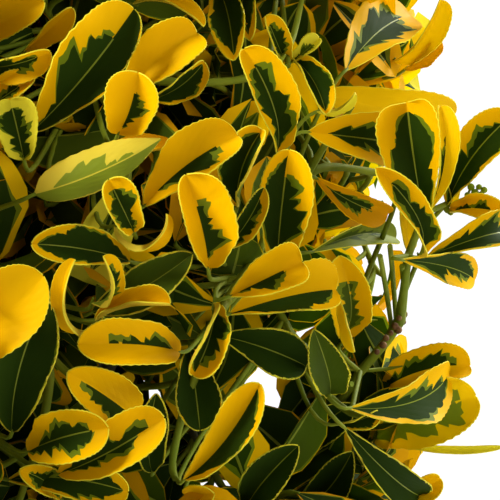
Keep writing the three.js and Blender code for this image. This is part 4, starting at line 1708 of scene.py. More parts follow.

# The bright rims are the backlit leaves, most at the right, where the paler gold is a painted glow of the
# light through them.
FRONT_LEAVES: tuple[Leaf, ...] = (
    # The left edge and the big leaves at the top left
    Leaf((32, 132), (134, 9), 76, (184, 206), 8, 16, 8, 10, R, G, spoon=0.3, taper=0.6, lop=0.34),
    Leaf((-24, 40), (44, 2), 44, (176, 198), -10, 10, 20, 20, Y),
    Leaf((-30, 66), (50, 52), 36, (186, 204), 30, 14, 20, 34, F),
    Leaf((24, 160), (10, 100), 54, (190, 200), -6, 8, 40, 30, F, None, LEMON),
    Leaf((24, 52), (72, 8), 28, (168, 190), 30, 16, 20, 20, Y),
    Leaf((-14, 110), (34, 78), 34, (180, 196), -24, 14, 26, 34, S),
    Leaf((128, 96), (197, 33), 58, (182, 202), -10, 8, 26, 40, Y, None, spoon=0.6),
    Leaf((150, 100), (204, 62), 34, (170, 188), 30, 10, 20, 20, D),
    Leaf((132, 4), (204, 26), 20, (176, 190), -44, 14, 20, 40, Y),
    Leaf((118, 134), (138, 73), 64, (196, 213), 0, 8, 34, 24, Y, S),
    # The pale underside that arches across the left, and its neighbours
    Leaf((35, 194), (160, 139), 46, (196, 208), 172, 3, 6, -24, G, S, spoon=-0.5, taper=0.95, lop=-0.26),
    Leaf((62, 170), (174, 146), 30, (182, 192), -50, 10, 20, 20, Y, None, AMBER),
    Leaf((144, 206), (238, 136), 60, (182, 204), -12, 8, 26, 26, Y, P, spoon=0.6),
    Leaf((208, 268), (186, 175), 66, (190, 208), 6, 10, 44, 30, Y, S, spoon=0.9, lop=-0.18, twist=-10),
    Leaf((134, 232), (109, 180), 46, (196, 210), 4, 10, 50, 40, F, spoon=1.4),
    Leaf((114, 226), (167, 214), 18, (188, 202), 72, 14, 10, 96, Y),
    Leaf((130, 262), (32, 244), 46, (180, 200), 10, 12, 30, 24, D),
    Leaf((238, 206), (262, 130), 44, (180, 200), -20, 14, 50, 40, D),
    # The top middle
    Leaf((277, 152), (244, 49), 54, (178, 202), 14, 16, 30, 40, F, spoon=0.8),
    Leaf((292, 58), (326, 114), 34, (184, 196), -20, 20, 30, 20, D),
    Leaf((316, 112), (355, 93), 12, (186, 200), 50, 20, 20, 40, Y, None, LEMON),
    Leaf((286, 60), (266, 16), 26, (182, 196), 20, 18, 30, 30, F),
    Leaf((290, 63), (319, 38), 20, (184, 196), -20, 18, 24, 20, S, None, LEMON, OLIVE),
    Leaf((215, -14), (234, 60), 40, (172, 184), 10, 12, 20, 20, D),
    Leaf((262, -20), (250, 40), 34, (168, 180), 20, 14, 20, 20, D),
    Leaf((346, 70), (411, 16), 60, (192, 200), -14, 3, 4, 10, F, P, spoon=0.3),
    Leaf((392, 62), (442, 0), 28, (170, 186), 30, 14, 30, 50, Y, None, BRIGHT),
    Leaf((404, 70), (438, 38), 22, (166, 180), 40, 14, 20, 20, Y, None, AMBER),
    # The upper right
    Leaf((308, 132), (414, 147), 64, (180, 200), -4, 8, 16, 26, S, P, spoon=0.2),
    Leaf((318, 92), (452, 118), 58, (166, 186), 2, 6, 12, 24, Y, None, BRIGHT, spoon=0.1),
    Leaf((428, 216), (407, 103), 76, (193, 211), 2, 18, 30, 60, D, spoon=6.5),
    Leaf((428, 212), (441, 106), 26, (194, 209), 20, 16, 30, 40, S, Y, BRIGHT, spoon=1.0),
    Leaf((447, 205), (514, 114), 56, (190, 208), -14, 14, 24, 20, F, D),
    Leaf((419, 256), (376, 168), 38, (196, 210), 16, 22, 30, 30, F, spoon=0.6),
    Leaf((412, 252), (408, 176), 22, (182, 190), 20, 14, 20, 20, Y, None, BRIGHT),
    Leaf((452, 212), (446, 164), 18, (190, 200), 20, 20, 20, 10, Y, None, BRIGHT),
    Leaf((450, 212), (504, 214), 34, (190, 204), -10, 24, 30, 30, S, Y),
    Leaf((428, 256), (502, 238), 46, (194, 206), -20, 8, 26, 70, F, D),
    Leaf((402, 260), (475, 280), 36, (194, 206), 8, 3, 4, 10, D, F, spoon=0.7, taper=0.6),
    # The middle
    Leaf((230, 296), (302, 262), 56, (190, 206), -10, 10, 36, 30, Y, S, spoon=1.3),
    Leaf((230, 314), (336, 290), 58, (180, 200), -10, 8, 30, 34, Y, D, spoon=0.9, lop=0.2),
    Leaf((277, 266), (289, 150), 62, (180, 202), -4, 8, 30, 24, D, P, spoon=0.5, lop=-0.28),
    Leaf((330, 394), (314, 330), 42, (180, 198), 4, 12, 22, 20, G, None, LEMON, OLIVE),
    Leaf((222, 336), (306, 366), 52, (172, 190), 0, 12, 20, 16, G, None, LEMON),
    Leaf((316, 178), (388, 214), 34, (172, 186), 10, 10, 20, 20, S, None, AMBER),
    Leaf((312, 252), (396, 238), 28, (158, 170), 0, 10, 20, 10, S, None, Skin.UNDER_GREEN, OLIVE),
    Leaf((344, 338), (340, 256), 50, (166, 180), 6, 10, 20, 20, S, None, Skin.GOLD, OLIVE),
    Leaf((338, 296), (354, 352), 14, (178, 190), 40, 16, 20, 16, Y, None, BRIGHT),
    # The lower right
    Leaf((350, 408), (449, 374), 54, (192, 206), 16, 3, 6, 16, F, D, spoon=0.8),
    Leaf((372, 440), (476, 396), 72, (170, 190), 10, 8, 24, 24, F, F, BRIGHT, Skin.UNDER_GREEN, 0.1),
    Leaf((388, 441), (502, 447), 8, (176, 190), 0, 10, 10, 10, Y, None, LEMON),
    Leaf((380, 392), (470, 366), 46, (174, 192), -18, 12, 24, 40, F, Y, Skin.GOLD),
    Leaf((345, 428), (420, 496), 46, (190, 208), 0, 14, 20, 16, G, None, LEMON),
    Leaf((338, 424), (378, 412), 18, (184, 196), 30, 24, 20, 30, D),
    Leaf((352, 504), (390, 460), 32, (180, 194), 0, 14, 20, 20, G, None, LEMON, OLIVE),
    Leaf((398, 506), (440, 478), 28, (180, 194), 0, 14, 20, 20, Y),
    Leaf((246, 508), (298, 446), 46, (178, 194), 0, 12, 24, 20, G, None, LEMON),
    Leaf((302, 506), (352, 452), 46, (170, 186), 10, 12, 20, 20, G, None, OLIVE),
    Leaf((300, 452), (352, 404), 40, (162, 176), 0, 12, 20, 20, G, None, OLIVE),
    # The left middle
    Leaf((-52, 356), (43, 276), 76, (196, 212), -6, 2, 14, 24, Y, None, spoon=0.1),
    Leaf((12, 432), (46, 300), 64, (190, 204), 6, 12, 18, 16, G, None, LEMON),
    Leaf((106, 322), (74, 259), 20, (190, 206), -58, 14, 10, 96, Y),
    Leaf((92, 303), (104, 256), 24, (186, 200), 60, 14, 20, 70, F, spoon=1.2),
    Leaf((92, 312), (192, 254), 48, (176, 194), -6, 12, 18, 16, G, None, LEMON, OLIVE, 0.4, 0.85),
    Leaf((95, 320), (170, 304), 28, (184, 200), -30, 26, 30, 30, Y),
    Leaf((180, 352), (78, 344), 54, (188, 204), 6, 8, 26, 30, Y, S, spoon=0.3),
    Leaf((214, 304), (193, 375), 42, (184, 198), -20, 24, 40, 40, F, D, spoon=0.8),
    Leaf((190, 348), (200, 430), 50, (166, 182), 0, 12, 20, 16, G),
    # The lower left
    Leaf((140, 424), (68, 372), 52, (184, 204), 4, 10, 20, 20, F, Y),
    Leaf((28, 452), (108, 428), 62, (190, 208), -4, 10, 26, 24, P, F),
    Leaf((58, 474), (164, 418), 60, (192, 208), -6, 10, 24, 24, F, S),
    Leaf((152, 472), (156, 394), 36, (176, 190), 10, 14, 20, 16, G, None, LEMON),
    Leaf((184, 480), (260, 384), 48, (190, 206), 0, 22, 14, 14, Y, D),
    Leaf((8, 480), (128, 492), 44, (186, 200), 0, 12, 20, 20, D),
    Leaf((60, 500), (20, 470), 30, (184, 196), 10, 12, 20, 20, F),
    Leaf((190, 500), (214, 494), 30, (184, 196), 10, 12, 20, 20, Y),
    # Small leaves between the others
    Leaf((226, 247), (264, 188), 30, (180, 198), 6, 14, 30, 20, G, F, spoon=0.2),
)

# The long green shoot at the lower right: pixels of the photograph, with reach and radius
FRONT_STEM: tuple[tuple[float, float, float, float], ...] = (
    (262, 462, 120, 2.4), (300, 434, 146, 2.3), (336, 408, 162, 2.2), (360, 372, 170, 2.1),
    (387, 341, 176, 2.1), (400, 320, 180, 2.7), (404, 290, 186, 1.8), (408, 256, 190, 1.7),
    (424, 214, 192, 1.5), (446, 204, 190, 1.3), (462, 206, 186, 1.1),
)
PALE_STALKS: tuple[tuple[Pair, Pair], ...] = (
    ((392, 330), (380, 256)), ((396, 320), (390, 246)), ((402, 300), (420, 256)), ((404, 300), (402, 266)),
    ((330, 392), (352, 384)), ((360, 372), (352, 408)), ((282, 0), (288, 66)), ((276, 0), (270, 60)),
)
FLOWER_BUDS: tuple[Pair, ...] = ((479, 187), (484, 190), (471, 187), (475, 193), (467, 195))

# The brown corky bumps where old leaves left the green shoot
LEAF_SCARS: tuple[Pair, ...] = (
    (399, 318), (403, 322), (395, 326), (404, 314), (391, 333), (386, 338), (383, 345), (398, 330),
    (377, 352),
)


@dataclass
class FrontOfHead:
    """The listed leaves, their stalks, the green shoot and the flower buds."""

    growth: Growth
    view: PhotoView
    thickness: float = 0.45
    rows: int = 34
    teeth: float = 0.035
    stalk_radius: float = 0.65
    stalk_foot: float = 1.15
    stalk_steps: int = 8
    into_blade: float = 2.5
    root_reach: float = 148.0
    root_depth: float = 8.0
    stem_near: float = 34.0
    neck: Pair = (0.3, 7.0)
    inward: Pair = (0.35, 10.0)
    flat_fold: float = 4.0
    cup: float = 1.6
    cup_more: float = 8.0
    roll_up: float = 24.0
    curl_up: float = 1.25
    twist_by: float = 14.0
    rib: float = 0.022
    wave: float = 0.05
    sweep: float = 0.06
    slant: float = 0.2
    feather: float = 1.0
    stalk_end: float = 0.6
    shoot_foot_radius: float = 2.4
    pale_stalk_reach: Pair = (176.0, 188.0)
    pale_stalk_sag: Triple = (0.0, -2.0, 2.0)
    pale_stalk_radius: float = 1.1
    pale_stalk_steps: int = 6
    bud_radius: float = 1.6
    bud_reach: float = 194.0
    bud_stalk_reach: float = 186.0
    bud_stalk_start: Triple = (-6.0, 4.0, -8.0)
    bud_stalk_radii: Pair = (0.7, 0.5)
    scar_radius: float = 1.5
    scar_reach: float = 181.0
    bump_rings: int = 7
    bump_sides: int = 10
    bump_sizes: Pair = (0.8, 0.12)
    bump_lobes: float = 0.1

    def point(self, pixel: Pair, reach: float) -> Array:
        """The place of a pixel on a ball about the middle of the head."""
        return self.view.on_ball(pixel, self.growth.head_middle, reach)

    def leaf_matrix(self, leaf: Leaf) -> tuple[Array, float]:
        """Where a leaf stands, and its length.

        Args:
            leaf: The leaf.

        Returns:
            A 4 by 4 matrix, and millimetres.
        """
        foot, tip = self.point(leaf.foot, leaf.out[0]), self.point(leaf.tip, leaf.out[1])
        way = unit(tip - foot)
        towards = unit(self.view.eye() - (foot + tip) / 2)
        flat = unit(towards - way * float(np.dot(towards, way)))
        face = around(flat, way, math.radians(leaf.roll))
        return leaf_frame(foot, way, face), float(np.linalg.norm(tip - foot))

    def add_leaves(self, book: LeafMesh) -> None:
        """Adds every front leaf, with true thickness and a paler underside.

        Args:
            book: Where the faces are gathered.
        """
        for number, leaf in enumerate(FRONT_LEAVES):
            matrix, length = self.leaf_matrix(leaf)
            middle = matrix[:3, 3] + matrix[:3, 1] * length / 2
            fold = leaf.fold
            if not 0 < fold < self.flat_fold:
                fold = fold * self.cup + math.copysign(self.cup_more, fold)
            narrowed = math.cos(math.radians(0.7 * fold + (leaf.bow + self.roll_up) / 4))
            shape = LeafShape(
                length=length,
                width=leaf.wide * self.view.size_of_pixel(middle) / narrowed,
                fold=fold,
                bow=leaf.bow + self.roll_up * (1 if leaf.bow > 0 else -1),
                curl=leaf.curl * self.curl_up,
                twist=leaf.twist + self.twist_by * math.sin(1.7 * number),
                wave=self.wave,
                left=leaf.left,
                right=leaf.right or leaf.left,
                rows=self.rows,
                teeth=self.teeth,
                seed=number + 3,
                rib=self.rib,
                slant=self.slant,
                feather=self.feather,
                spoon=leaf.spoon,
                taper=leaf.taper or blade_taper(leaf.left),
                sweep=self.sweep * math.sin(2.9 * number + 0.4),
                lop=leaf.lop,
            )
            shape.add_to(book, leaf.rim, leaf.dark, matrix, self.thickness)

    def nearest_spot(self, foot: Array, spots: list[Spot]) -> Spot:
        """The best place on the grown twigs for a front leaf's stalk to come from."""
        limit = min(self.growth.out_from_middle(foot) - self.root_depth, self.root_reach)
        deeper = [spot for spot in spots if self.growth.out_from_middle(spot.point) < limit]
        return min(deeper, key=lambda spot: gap_between(spot.point, foot))

    def add_stalks(self, lines: TwigLines, spots: list[Spot]) -> None:
        """Adds a stalk from the twigs to each front leaf, and the green shoot with its own stalks.

        Args:
            lines: Where the lines are gathered.
            spots: Places on the twigs to branch from.
        """
        route = [self.point((x, y), reach) for x, y, reach, _ in FRONT_STEM]
        radii = [radius for *_, radius in FRONT_STEM]
        begin = self.nearest_spot(route[0], spots)
        lines.add(np.array([begin.point, *route]), [self.shoot_foot_radius, *radii])
        on_stem = [Spot(a, unit(b - a)) for a, b in zip(route[2:], route[3:])]
        for ends in PALE_STALKS:
            foot, tip = (self.point(end, reach) for end, reach in zip(ends, self.pale_stalk_reach))
            belly = (foot + tip) / 2 + np.array(self.pale_stalk_sag)
            line = Bezier((foot, belly, tip)).line(self.pale_stalk_steps)
            lines.add(line, [self.pale_stalk_radius] * len(line))
        for leaf in FRONT_LEAVES:
            matrix, _ = self.leaf_matrix(leaf)
            foot, way = matrix[:3, 3], matrix[:3, 1]
            spot = min(on_stem, key=lambda near: gap_between(near.point, foot))
            if gap_between(spot.point, foot) >= self.stem_near:
                spot = self.nearest_spot(foot, spots)
            length = gap_between(foot, spot.point)
            inwards = unit(self.growth.head_middle - foot)
            neck = foot - way * min(self.neck[1], length * self.neck[0])
            bend = neck + inwards * min(length * self.inward[0], self.inward[1])
            line = Bezier((spot.point, bend, neck, foot)).line(self.stalk_steps)
            radii = list(np.linspace(self.stalk_foot, self.stalk_radius, self.stalk_steps + 1))
            radii.append(self.stalk_radius * self.stalk_end)
            lines.add(np.vstack([line, foot + way * self.into_blade]), radii)

    def add_bud_stalks(self, lines: TwigLines) -> None:
        """Adds the thin stalks of the flower buds."""
        start = self.point(FLOWER_BUDS[0], self.bud_stalk_reach) + np.array(self.bud_stalk_start)
        for pixel in FLOWER_BUDS:
            lines.add(np.array([start, self.point(pixel, self.bud_reach)]), list(self.bud_stalk_radii))

    def build_bumps(
        self,
        name: str,
        pixels: tuple[Pair, ...],
        reach: float,
        radius: float,
        material: Material,
    ) -> Object:
        """Makes small round bumps: flower buds, or the scars of old leaves.

        Args:
            name: The name of the piece.
            pixels: Where the photograph shows the bumps.
            reach: How far they lie from the middle of the head.
            radius: Their radius in millimetres.
            material: Their surface.

        Returns:
            One mesh of all the bumps.
        """
        points, faces = [], []
        least, more = self.bump_sizes
        for number, pixel in enumerate(pixels):
            middle, start = self.point(pixel, reach), len(points)
            size = radius * (least + more * (number % 4))
            for k in range(self.bump_rings):
                rise = math.pi * (k + 0.5) / self.bump_rings
                for turn in turns(self.bump_sides):
                    flat = math.sin(rise) * (1 + self.bump_lobes * math.cos(4 * turn + number))
                    way = np.array([flat * math.cos(turn), flat * math.sin(turn), -math.cos(rise)])
                    points.append(middle + way * size)
            rings = ring_faces(self.bump_rings, self.bump_sides)
            faces += [tuple(i + start for i in f) for f in rings]
        maps = np.full((len(points), 2), 0.5)
        return mesh_object(name, np.array(points), faces, material, maps)


# Trunk, boughs, pot and compost


@dataclass
class Limbs:
    """The clear stem and its boughs, with the relief of their bark."""

    growth: Growth
    foot_radius: float = 9.0
    tip_radius: float = 4.6
    flare: float = 8.0
    flare_height: float = 22.0
    sides: int = 48
    steps: int = 220
    bough_radii: Pair = (3.9, 2.6)
    bough_sides: int = 16
    bough_steps: int = 36
    ridge: float = 0.055
    ridge_pace: Pair = (3.2, 0.022)
    knobs: float = 0.035
    knob_pace: Pair = (1.2, 0.06)

    def trunk_radius(self, t: float) -> float:
        """The stem's radius at a share of its height."""
        rise = self.growth.trunk_tip - self.growth.soil_level
        shaft = self.foot_radius + (self.tip_radius - self.foot_radius) * t
        return shaft + self.flare * math.exp(-t * rise / self.flare_height)

    def relief(self, point: Array, turn: float) -> float:
        """How far the bark stands out or in, as a share of the radius."""
        right, back = math.cos(turn), math.sin(turn)
        pace, climb = self.ridge_pace
        fissure = noise.fractal(Vector((right * pace, back * pace, point[2] * climb)), 0.9, 2.1, 4)
        pace, climb = self.knob_pace
        knob = noise.noise(Vector((right * pace, back * pace, point[2] * climb)))
        return self.ridge * fissure + self.knobs * knob

    def swept(
        self, curve: Curve, radius_at: Callable[[float], float], sides: int, steps: int
    ) -> tuple[Array, list]:
        """A closed limb with bark relief.

        Args:
            curve: Its middle line.
            radius_at: Gives the radius at a share of the curve.
            sides: Faces round it.
            steps: Faces along it.

        Returns:
            Its vertices and faces.
        """
        points = []
        for k in range(steps + 1):
            t = k / steps
            centre, along = curve.at(t), curve.along(t)
            side = unit(np.cross(along, np.array([1.0, 0.0, 0.0]) if abs(along[0]) < 0.9 else UP))
            across = np.cross(along, side)
            for turn in turns(sides):
                reach = radius_at(t) * (1 + self.relief(centre, turn))
                points.append(centre + (side * math.cos(turn) + across * math.sin(turn)) * reach)
        return np.array(points), ring_faces(steps + 1, sides)

    def build_trunk(self, material: Material) -> Object:
        """Makes the clear stem, cut level at the compost."""
        curve = self.growth.trunk_curve()
        points, faces = self.swept(curve, self.trunk_radius, self.sides, self.steps)
        points[:, 2] = np.maximum(points[:, 2], self.growth.soil_level + self.growth.clearance - 0.2)
        return mesh_object("stem", points, faces, material)

    def build_boughs(self, material: Material) -> Object:
        """Makes all boughs as one piece.

        Args:
            material: Their bark.

        Returns:
            The piece.
        """
        foot, tip = self.bough_radii
        points, faces = np.zeros((0, 3)), []
        for bough in (mass.bough for mass in self.growth.masses() if mass.bough):
            made, quads = self.swept(
                bough, lambda t: foot + (tip - foot) * t, self.bough_sides, self.bough_steps
            )
            faces += [tuple(i + len(points) for i in f) for f in quads]
            points = np.concatenate([points, made])
        return mesh_object("boughs", points, faces, material)


@dataclass
class ClayPot:
    """The turned clay pot with its thicker rim."""

    height: float = 235.0
    base_radius: float = 92.0
    top_radius: float = 122.0
    wall: float = 9.0
    floor: float = 13.0
    rim_height: float = 36.0
    rim_proud: float = 6.0
    rounding: float = 3.0
    sides: int = 128
    lines_deep: float = 0.18
    wall_steps: int = 44
    rim_steps: int = 8
    corner_steps: int = 5
    pole: float = 0.2

    def wall_radius(self, z: float) -> float:
        """The outer radius of the tapering wall at a height."""
        return self.base_radius + (self.top_radius - self.base_radius) * z / self.height

    def corner(self, centre: Pair, start: float, end: float) -> list[Pair]:
        """A rounded corner of the profile, as an arc between two angles in degrees."""
        steps, r = self.corner_steps, self.rounding
        angles = [math.radians(start + (end - start) * i / steps) for i in range(steps + 1)]
        return [(centre[0] + r * math.cos(a), centre[1] + r * math.sin(a)) for a in angles]

    def groove(self, place: float, z: float) -> float:
        """How far a line left by the turning stands out or in at a height."""
        return self.lines_deep * (noise.noise(Vector((place, 0.0, z * 0.9))) - 0.4)

    def profile(self) -> list[Pair]:
        """Half of the pot's section, from the middle of its underside to the middle of its floor.

        Returns:
            Pairs of a radius and a height.
        """
        r, rim_foot = self.rounding, self.height - self.rim_height
        foot_radius = self.wall_radius(rim_foot)
        rows = [(self.pole, 0.0)] + self.corner((self.base_radius - r, r), -90, 0)
        for i in range(1, self.wall_steps):
            z = r + (rim_foot - r) * i / self.wall_steps
            rows.append((self.wall_radius(z) + self.groove(0.0, z), z))
        rows.append((foot_radius, rim_foot))
        rows += self.corner((foot_radius + self.rim_proud - r, rim_foot + r), -80, 0)
        for i in range(1, self.rim_steps):
            z = rim_foot + r + (self.rim_height - 2 * r) * i / self.rim_steps
            outer = foot_radius + (self.top_radius - foot_radius) * i / self.rim_steps
            rows.append((outer + self.rim_proud + self.groove(5.0, z), z))
        rows += self.corner((self.top_radius + self.rim_proud - r, self.height - r), 0, 90)
        rows += self.corner((self.top_radius - self.wall + r, self.height - r), 90, 180)
        rows += [(self.wall_radius(self.floor) - self.wall, self.floor), (self.pole, self.floor)]
        return rows

    def build(self, material: Material) -> Object:
        """Turns the profile into the pot."""
        rows = self.profile()
        points = [point for radius, z in rows for point in circle(radius, z, self.sides)]
        return mesh_object("pot_clay", np.array(points), ring_faces(len(rows), self.sides), material)


@dataclass
class Compost:
    """The compost in the pot: a low mound of crumbs."""

    pot: ClayPot
    growth: Growth
    mound_height: float = 5.0
    mound_radius: float = 30.0
    gap: float = 0.6
    rings: int = 44
    sides: int = 96
    lumps: float = 1.6
    lump_pace: float = 0.06
    crumb_density: float = 42000.0
    crumb_size: float = 2.4
    crumb_seed: int = 7
    crumb_ranges: tuple[Triple, ...] = ((0.25, 0.25, 0.2), (1.3, 0.8, 0.6))
    steepest: float = 0.5
    bare_radius: float = 24.0

    def reach(self, height: float) -> float:
        """How far the compost reaches from the pot's axis at a height."""
        return self.pot.wall_radius(height) - self.pot.wall - self.gap

    def surface(self, x: float, y: float, radius: float) -> float:
        """The height of the mound at a place.

        Args:
            x: To the right of the axis.
            y: Behind it.
            radius: The distance from it.

        Returns:
            The height.
        """
        edge = self.reach(self.growth.soil_level)
        fall = max(radius - self.mound_radius, 0.0) / (edge - self.mound_radius)
        lump = noise.fractal(Vector((x * self.lump_pace, y * self.lump_pace, 0.0)), 0.8, 2.0, 4)
        near_stem = min(radius / self.bare_radius, 1.0)
        return self.growth.soil_level - self.mound_height * fall + self.lumps * lump * near_stem

    def build(self, base: Material, crumbs: Material) -> list[Object]:
        """Makes the mound, and the crumbs strewn on it by Geometry Nodes.

        Args:
            base: The mound's surface.
            crumbs: The crumbs' surface.

        Returns:
            The two pieces.
        """
        edge, pole = self.reach(self.growth.soil_level), self.pot.pole
        bottom = self.pot.floor + self.growth.clearance
        points = []
        for k in range(self.rings + 1):
            radius = pole + (edge - pole) * k / self.rings
            points += [(x, y, self.surface(x, y, radius)) for x, y, _ in circle(radius, 0.0, self.sides)]
        points += circle(self.reach(bottom), bottom, self.sides)
        faces = [tuple(reversed(f)) for f in ring_faces(self.rings + 2, self.sides)]
        mound = mesh_object("compost_mound", np.array(points), faces, base)
        bed = mesh_object("crumb_bed", np.array(points), faces, base)
        values = {"Density": self.crumb_density, "Crumb Size": self.crumb_size * MM}
        give_nodes(bed, self.crumb_tree(), {**values, "Seed": self.crumb_seed, "Skin": crumbs})
        return [mound, made_plain("compost_crumbs", bed, crumbs, smooth=False)]

    def crumb_tree(self) -> NodeTree:
        """Geometry Nodes that strew crumbs over what faces up.

        Returns:
            The tree.
        """
        inputs = {"Mound": "Geometry", "Density": "Float", "Crumb Size": "Float", "Seed": "Int"}
        inputs["Skin"] = "Material"
        tree, start, end = new_tree("strewn_crumbs", "Geometry", inputs, {"Strewn": "Geometry"})
        normal, split = new_node(tree, "GeometryNodeInputNormal"), new_node(tree, "ShaderNodeSeparateXYZ")
        compare = {"data_type": "FLOAT", "operation": "GREATER_THAN"}
        upward = new_node(tree, "FunctionNodeCompare", {"B": self.steepest}, **compare)
        strew = new_node(tree, "GeometryNodeDistributePointsOnFaces")
        low, high = self.crumb_ranges
        turn, grow = (
            new_node(tree, "FunctionNodeRandomValue", values, data_type="FLOAT_VECTOR")
            for values in ({"Max": (math.tau, math.tau, math.tau)}, {"Min": low, "Max": high})
        )
        euler = new_node(tree, "FunctionNodeEulerToRotation")
        crumb = new_node(tree, "GeometryNodeMeshIcoSphere", {"Subdivisions": 1})
        stand = new_node(tree, "GeometryNodeInstanceOnPoints")
        wire(
            tree,
            (start, "Mound", strew, "Mesh"), (normal, "Normal", split, 0), (split, "Z", upward, "A"),
            (upward, "Result", strew, "Selection"), (start, "Density", strew, "Density"),
            (start, "Seed", strew, "Seed"), (strew, "Points", stand, "Points"),
            (start, "Crumb Size", crumb, "Radius"), (crumb, "Mesh", stand, "Instance"),
            (turn, "Value", euler, "Euler"), (euler, "Rotation", stand, "Rotation"),
            (grow, "Value", stand, "Scale"),
        )
        real_and_dressed(tree, start, stand, "Instances", end)
        return tree


# Light, floor and backdrop


@dataclass(frozen=True)
class SoftLight:
    """One soft lamp, aimed at the head."""

    name: str
    place: Triple
    size: float
    power: float
    tint: Triple = (1.0, 1.0, 1.0)

    def build(self, aim: Array) -> None:
        """Makes the lamp.

        Args:
            aim: What it points at, in millimetres.
        """
        data = bpy.data.lights.new(self.name, "AREA")
        data.energy, data.size, data.color = self.power, self.size, self.tint
        lamp, place = linked(self.name, data), np.array(self.place)
        lamp.location = Vector(place)
        lamp.rotation_mode = "QUATERNION"
        lamp.rotation_quaternion = Vector(aim * MM - place).to_track_quat("-Z", "Y")


LIGHTS = (
    SoftLight("window", (-1.1, -0.9, 2.0), 0.6, 53.0, (1.0, 0.99, 0.96)),
    SoftLight("back_window", (1.2, 0.9, 1.5), 0.9, 54.0),
    SoftLight("right_fill", (1.3, -0.8, 1.0), 1.2, 12.0),
)
WHITE = (1.0, 1.0, 1.0, 1.0)
ROOM_STRENGTH, SEEN_STRENGTH = 0.23, 1.1
FLOOR_RADIUS, FLOOR_CORNERS = 1.9, 128


def build_surroundings(aim: Array) -> None:
    """Makes the pale floor, a white backdrop to look at, and the lamps.

    Args:
        aim: What the lamps point at, in millimetres.
    """
    mesh = bpy.data.meshes.new("floor")
    mesh.from_pydata(circle(FLOOR_RADIUS, 0.0, FLOOR_CORNERS), [], [tuple(range(FLOOR_CORNERS))])
    floor = linked("floor", mesh)
    paint, _ = new_material("pale_floor", {"Base Color": (0.9, 0.9, 0.89, 1.0), "Roughness": 0.8})
    mesh.materials.append(paint)
    world = bpy.data.worlds.new("white_room")
    world.use_nodes = True
    tree = world.node_tree
    room = tree.nodes["Background"]
    room.inputs["Color"].default_value, room.inputs["Strength"].default_value = WHITE, ROOM_STRENGTH
    seen = new_node(tree, "ShaderNodeBackground", {"Color": WHITE, "Strength": SEEN_STRENGTH})
    path, both = new_node(tree, "ShaderNodeLightPath"), new_node(tree, "ShaderNodeMixShader")
    wire(
        tree,
        (path, "Is Camera Ray", both, "Fac"), (room, "Background", both, 1),
        (seen, "Background", both, 2), (both, "Shader", tree.nodes["World Output"], "Surface"),
    )
    bpy.context.scene.world = world
    bpy.context.scene.view_settings.view_transform = "Standard"
    for lamp in LIGHTS:
        lamp.build(aim)


# Putting it together


def finish_piece(piece: Object, slot: str, *nodes: str) -> None:
    """Says what a piece rides on and stands for, and reports it.

    Args:
        piece: The piece.
        slot: What it is made of; not used.
        nodes: The CAD nodes that it stands for.
    """
    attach(piece, "root")
    if nodes:
        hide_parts(*nodes)
    piece.data.calc_loop_triangles()
    log.info("%s: %d triangles", piece.name, len(piece.data.loop_triangles))


def build_sprays(sprays: Sprays, places: list[LeafPlace], skins: dict[Skin, Material]) -> list:
    """Stands the spray leaves by Geometry Nodes, one piece for each colour.

    Args:
        sprays: The rule of the sprays.
        places: Where the leaves stand.
        skins: The materials of leaf skin.

    Returns:
        The plain mesh objects.
    """
    log.info("%d spray leaves", len(places))
    stand_in = {"rim": Skin.GOLD, "dark": Skin.DARK_GREEN, "mid": Skin.MID_GREEN, "rib": Skin.RIB}
    collections = {part: bpy.data.collections.new(f"leaf_{part}_shapes") for part in stand_in}
    for collection in collections.values():
        bpy.context.scene.collection.children.link(collection)
    for number, shape in enumerate(sprays.blades()):
        book = LeafMesh()
        shape.add_to(book, Skin.GOLD, Skin.DARK_GREEN)
        for part, skin in stand_in.items():
            made = book.made(f"leaf_{part}_{number:02d}", skin)
            bpy.context.scene.collection.objects.unlink(made)
            collections[part].objects.link(made)
    groups = [("rim", tone, [p for p in places if p.tone is tone]) for tone in RIM_TONES]
    groups += [("dark", dark, [p for p in places if p.dark is dark]) for dark in DARK_TONES]
    groups += [("mid", Skin.MID_GREEN, places), ("rib", Skin.RIB, places)]
    tree = spray_tree()
    pieces = []
    for part, skin, chosen in groups:
        cloud = point_cloud(f"places_{skin.name.lower()}", chosen)
        values = {"Leaf Shapes": collections[part], "Leaf Scale": 1 / MM, "Skin": skins[skin]}
        give_nodes(cloud, tree, values)
        pieces.append(made_plain(f"spray_{skin.name.lower()}", cloud, skins[skin]))
    for collection in collections.values():
        for shape_object in list(collection.objects):
            bpy.data.objects.remove(shape_object)
        bpy.data.collections.remove(collection)
    return pieces


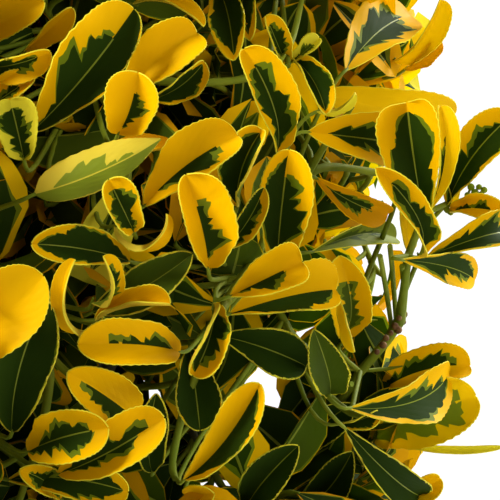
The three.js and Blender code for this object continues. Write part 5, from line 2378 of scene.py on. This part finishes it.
def draw_twigs(growth: Growth, sprays: Sprays) -> tuple[TwigLines, TwigLines, list[LeafPlace], list[Spot]]:
    """Grows all twigs and draws those that bear leaves, or that others grow on.

    Args:
        growth: The rule of the CAD source.
        sprays: The rule of the finer shoots.

    Returns:
        The lines of the old twigs and of the young ones, the places of the leaves, and the places
        that a stalk may branch from.
    """
    every, spots = growth.grow()
    finer = sprays.grow(spots)
    log.info("%d shoots of the source and %d finer ones", len(every), len(finer))
    in_white = [shoot for shoot in every if sprays.in_white(shoot.curve.at(1.0))]
    shoots = [shoot for shoot in every if not sprays.in_white(shoot.curve.at(1.0))]
    places, leafy = sprays.place_leaves(shoots + finer)
    starts = [shoot.curve.at(0.0) for shoot, bears in zip(finer, leafy[len(shoots):]) if bears]
    old, young = TwigLines(), TwigLines()
    for shoot in in_white:
        young.add_shoot(shoot, SOURCE_STEPS, growth.head_middle, sprays.needed_reach(shoot, starts, 0.0))
    for number, (shoot, bears) in enumerate(zip(shoots + finer, leafy)):
        of_source = number < len(shoots)
        if of_source or bears:
            whole = bears or shoot.age == 0
            reach = math.inf if whole else sprays.needed_reach(shoot, starts, sprays.bare_reach)
            steps = SOURCE_STEPS if of_source else FINER_STEPS
            (old if shoot.age == 0 else young).add_shoot(shoot, steps, growth.head_middle, reach)
    return old, young, places, [spot for row in spots.values() for spot in row]


def main() -> None:
    """Builds the plant and its pot."""
    logging.basicConfig(level=logging.INFO, format="%(message)s")
    growth, view = Growth(), PhotoView()
    view.build()
    build_surroundings(growth.head_middle)
    skins = {skin: skin.value.build() for skin in Skin}

    pot = ClayPot()
    finish_piece(pot.build(CLAY.build()), "clay_pot", "pot")
    compost = Compost(pot, growth)
    for piece in compost.build(COMPOST.build(), CRUMBS.build()):
        finish_piece(piece, "compost", "compost")
    limbs, bark = Limbs(growth), BARK.build()
    finish_piece(limbs.build_trunk(bark), "bark", "trunk")
    finish_piece(limbs.build_boughs(bark), "bark", *BOUGH_NODES)

    sprays, front = Sprays(growth, view), FrontOfHead(growth, view)
    old, young, places, spots = draw_twigs(growth, sprays)
    front.add_stalks(young, spots)
    front.add_bud_stalks(young)
    finish_piece(old.build("old_twigs", sides=9, material=OLD_TWIG.build()), "bark", *FOLIAGE_NODES)
    leafy_pieces = [young.build("young_shoots", sides=7, material=YOUNG_BARK.build())]
    leafy_pieces += build_sprays(sprays, places, skins)
    book = LeafMesh()
    front.add_leaves(book)
    leafy_pieces += book.build("front", skins)
    bud_skin = skins[Skin.UNDER_GREEN]
    buds = front.build_bumps("flower_buds", FLOWER_BUDS, front.bud_reach, front.bud_radius, bud_skin)
    leafy_pieces.append(buds)
    for piece in leafy_pieces:
        finish_piece(piece, "leaves", *FOLIAGE_NODES)
    scars = front.build_bumps("leaf_scars", LEAF_SCARS, front.scar_reach, front.scar_radius, CORK.build())
    finish_piece(scars, "bark", *FOLIAGE_NODES)


if __name__ == "__main__":
    main()
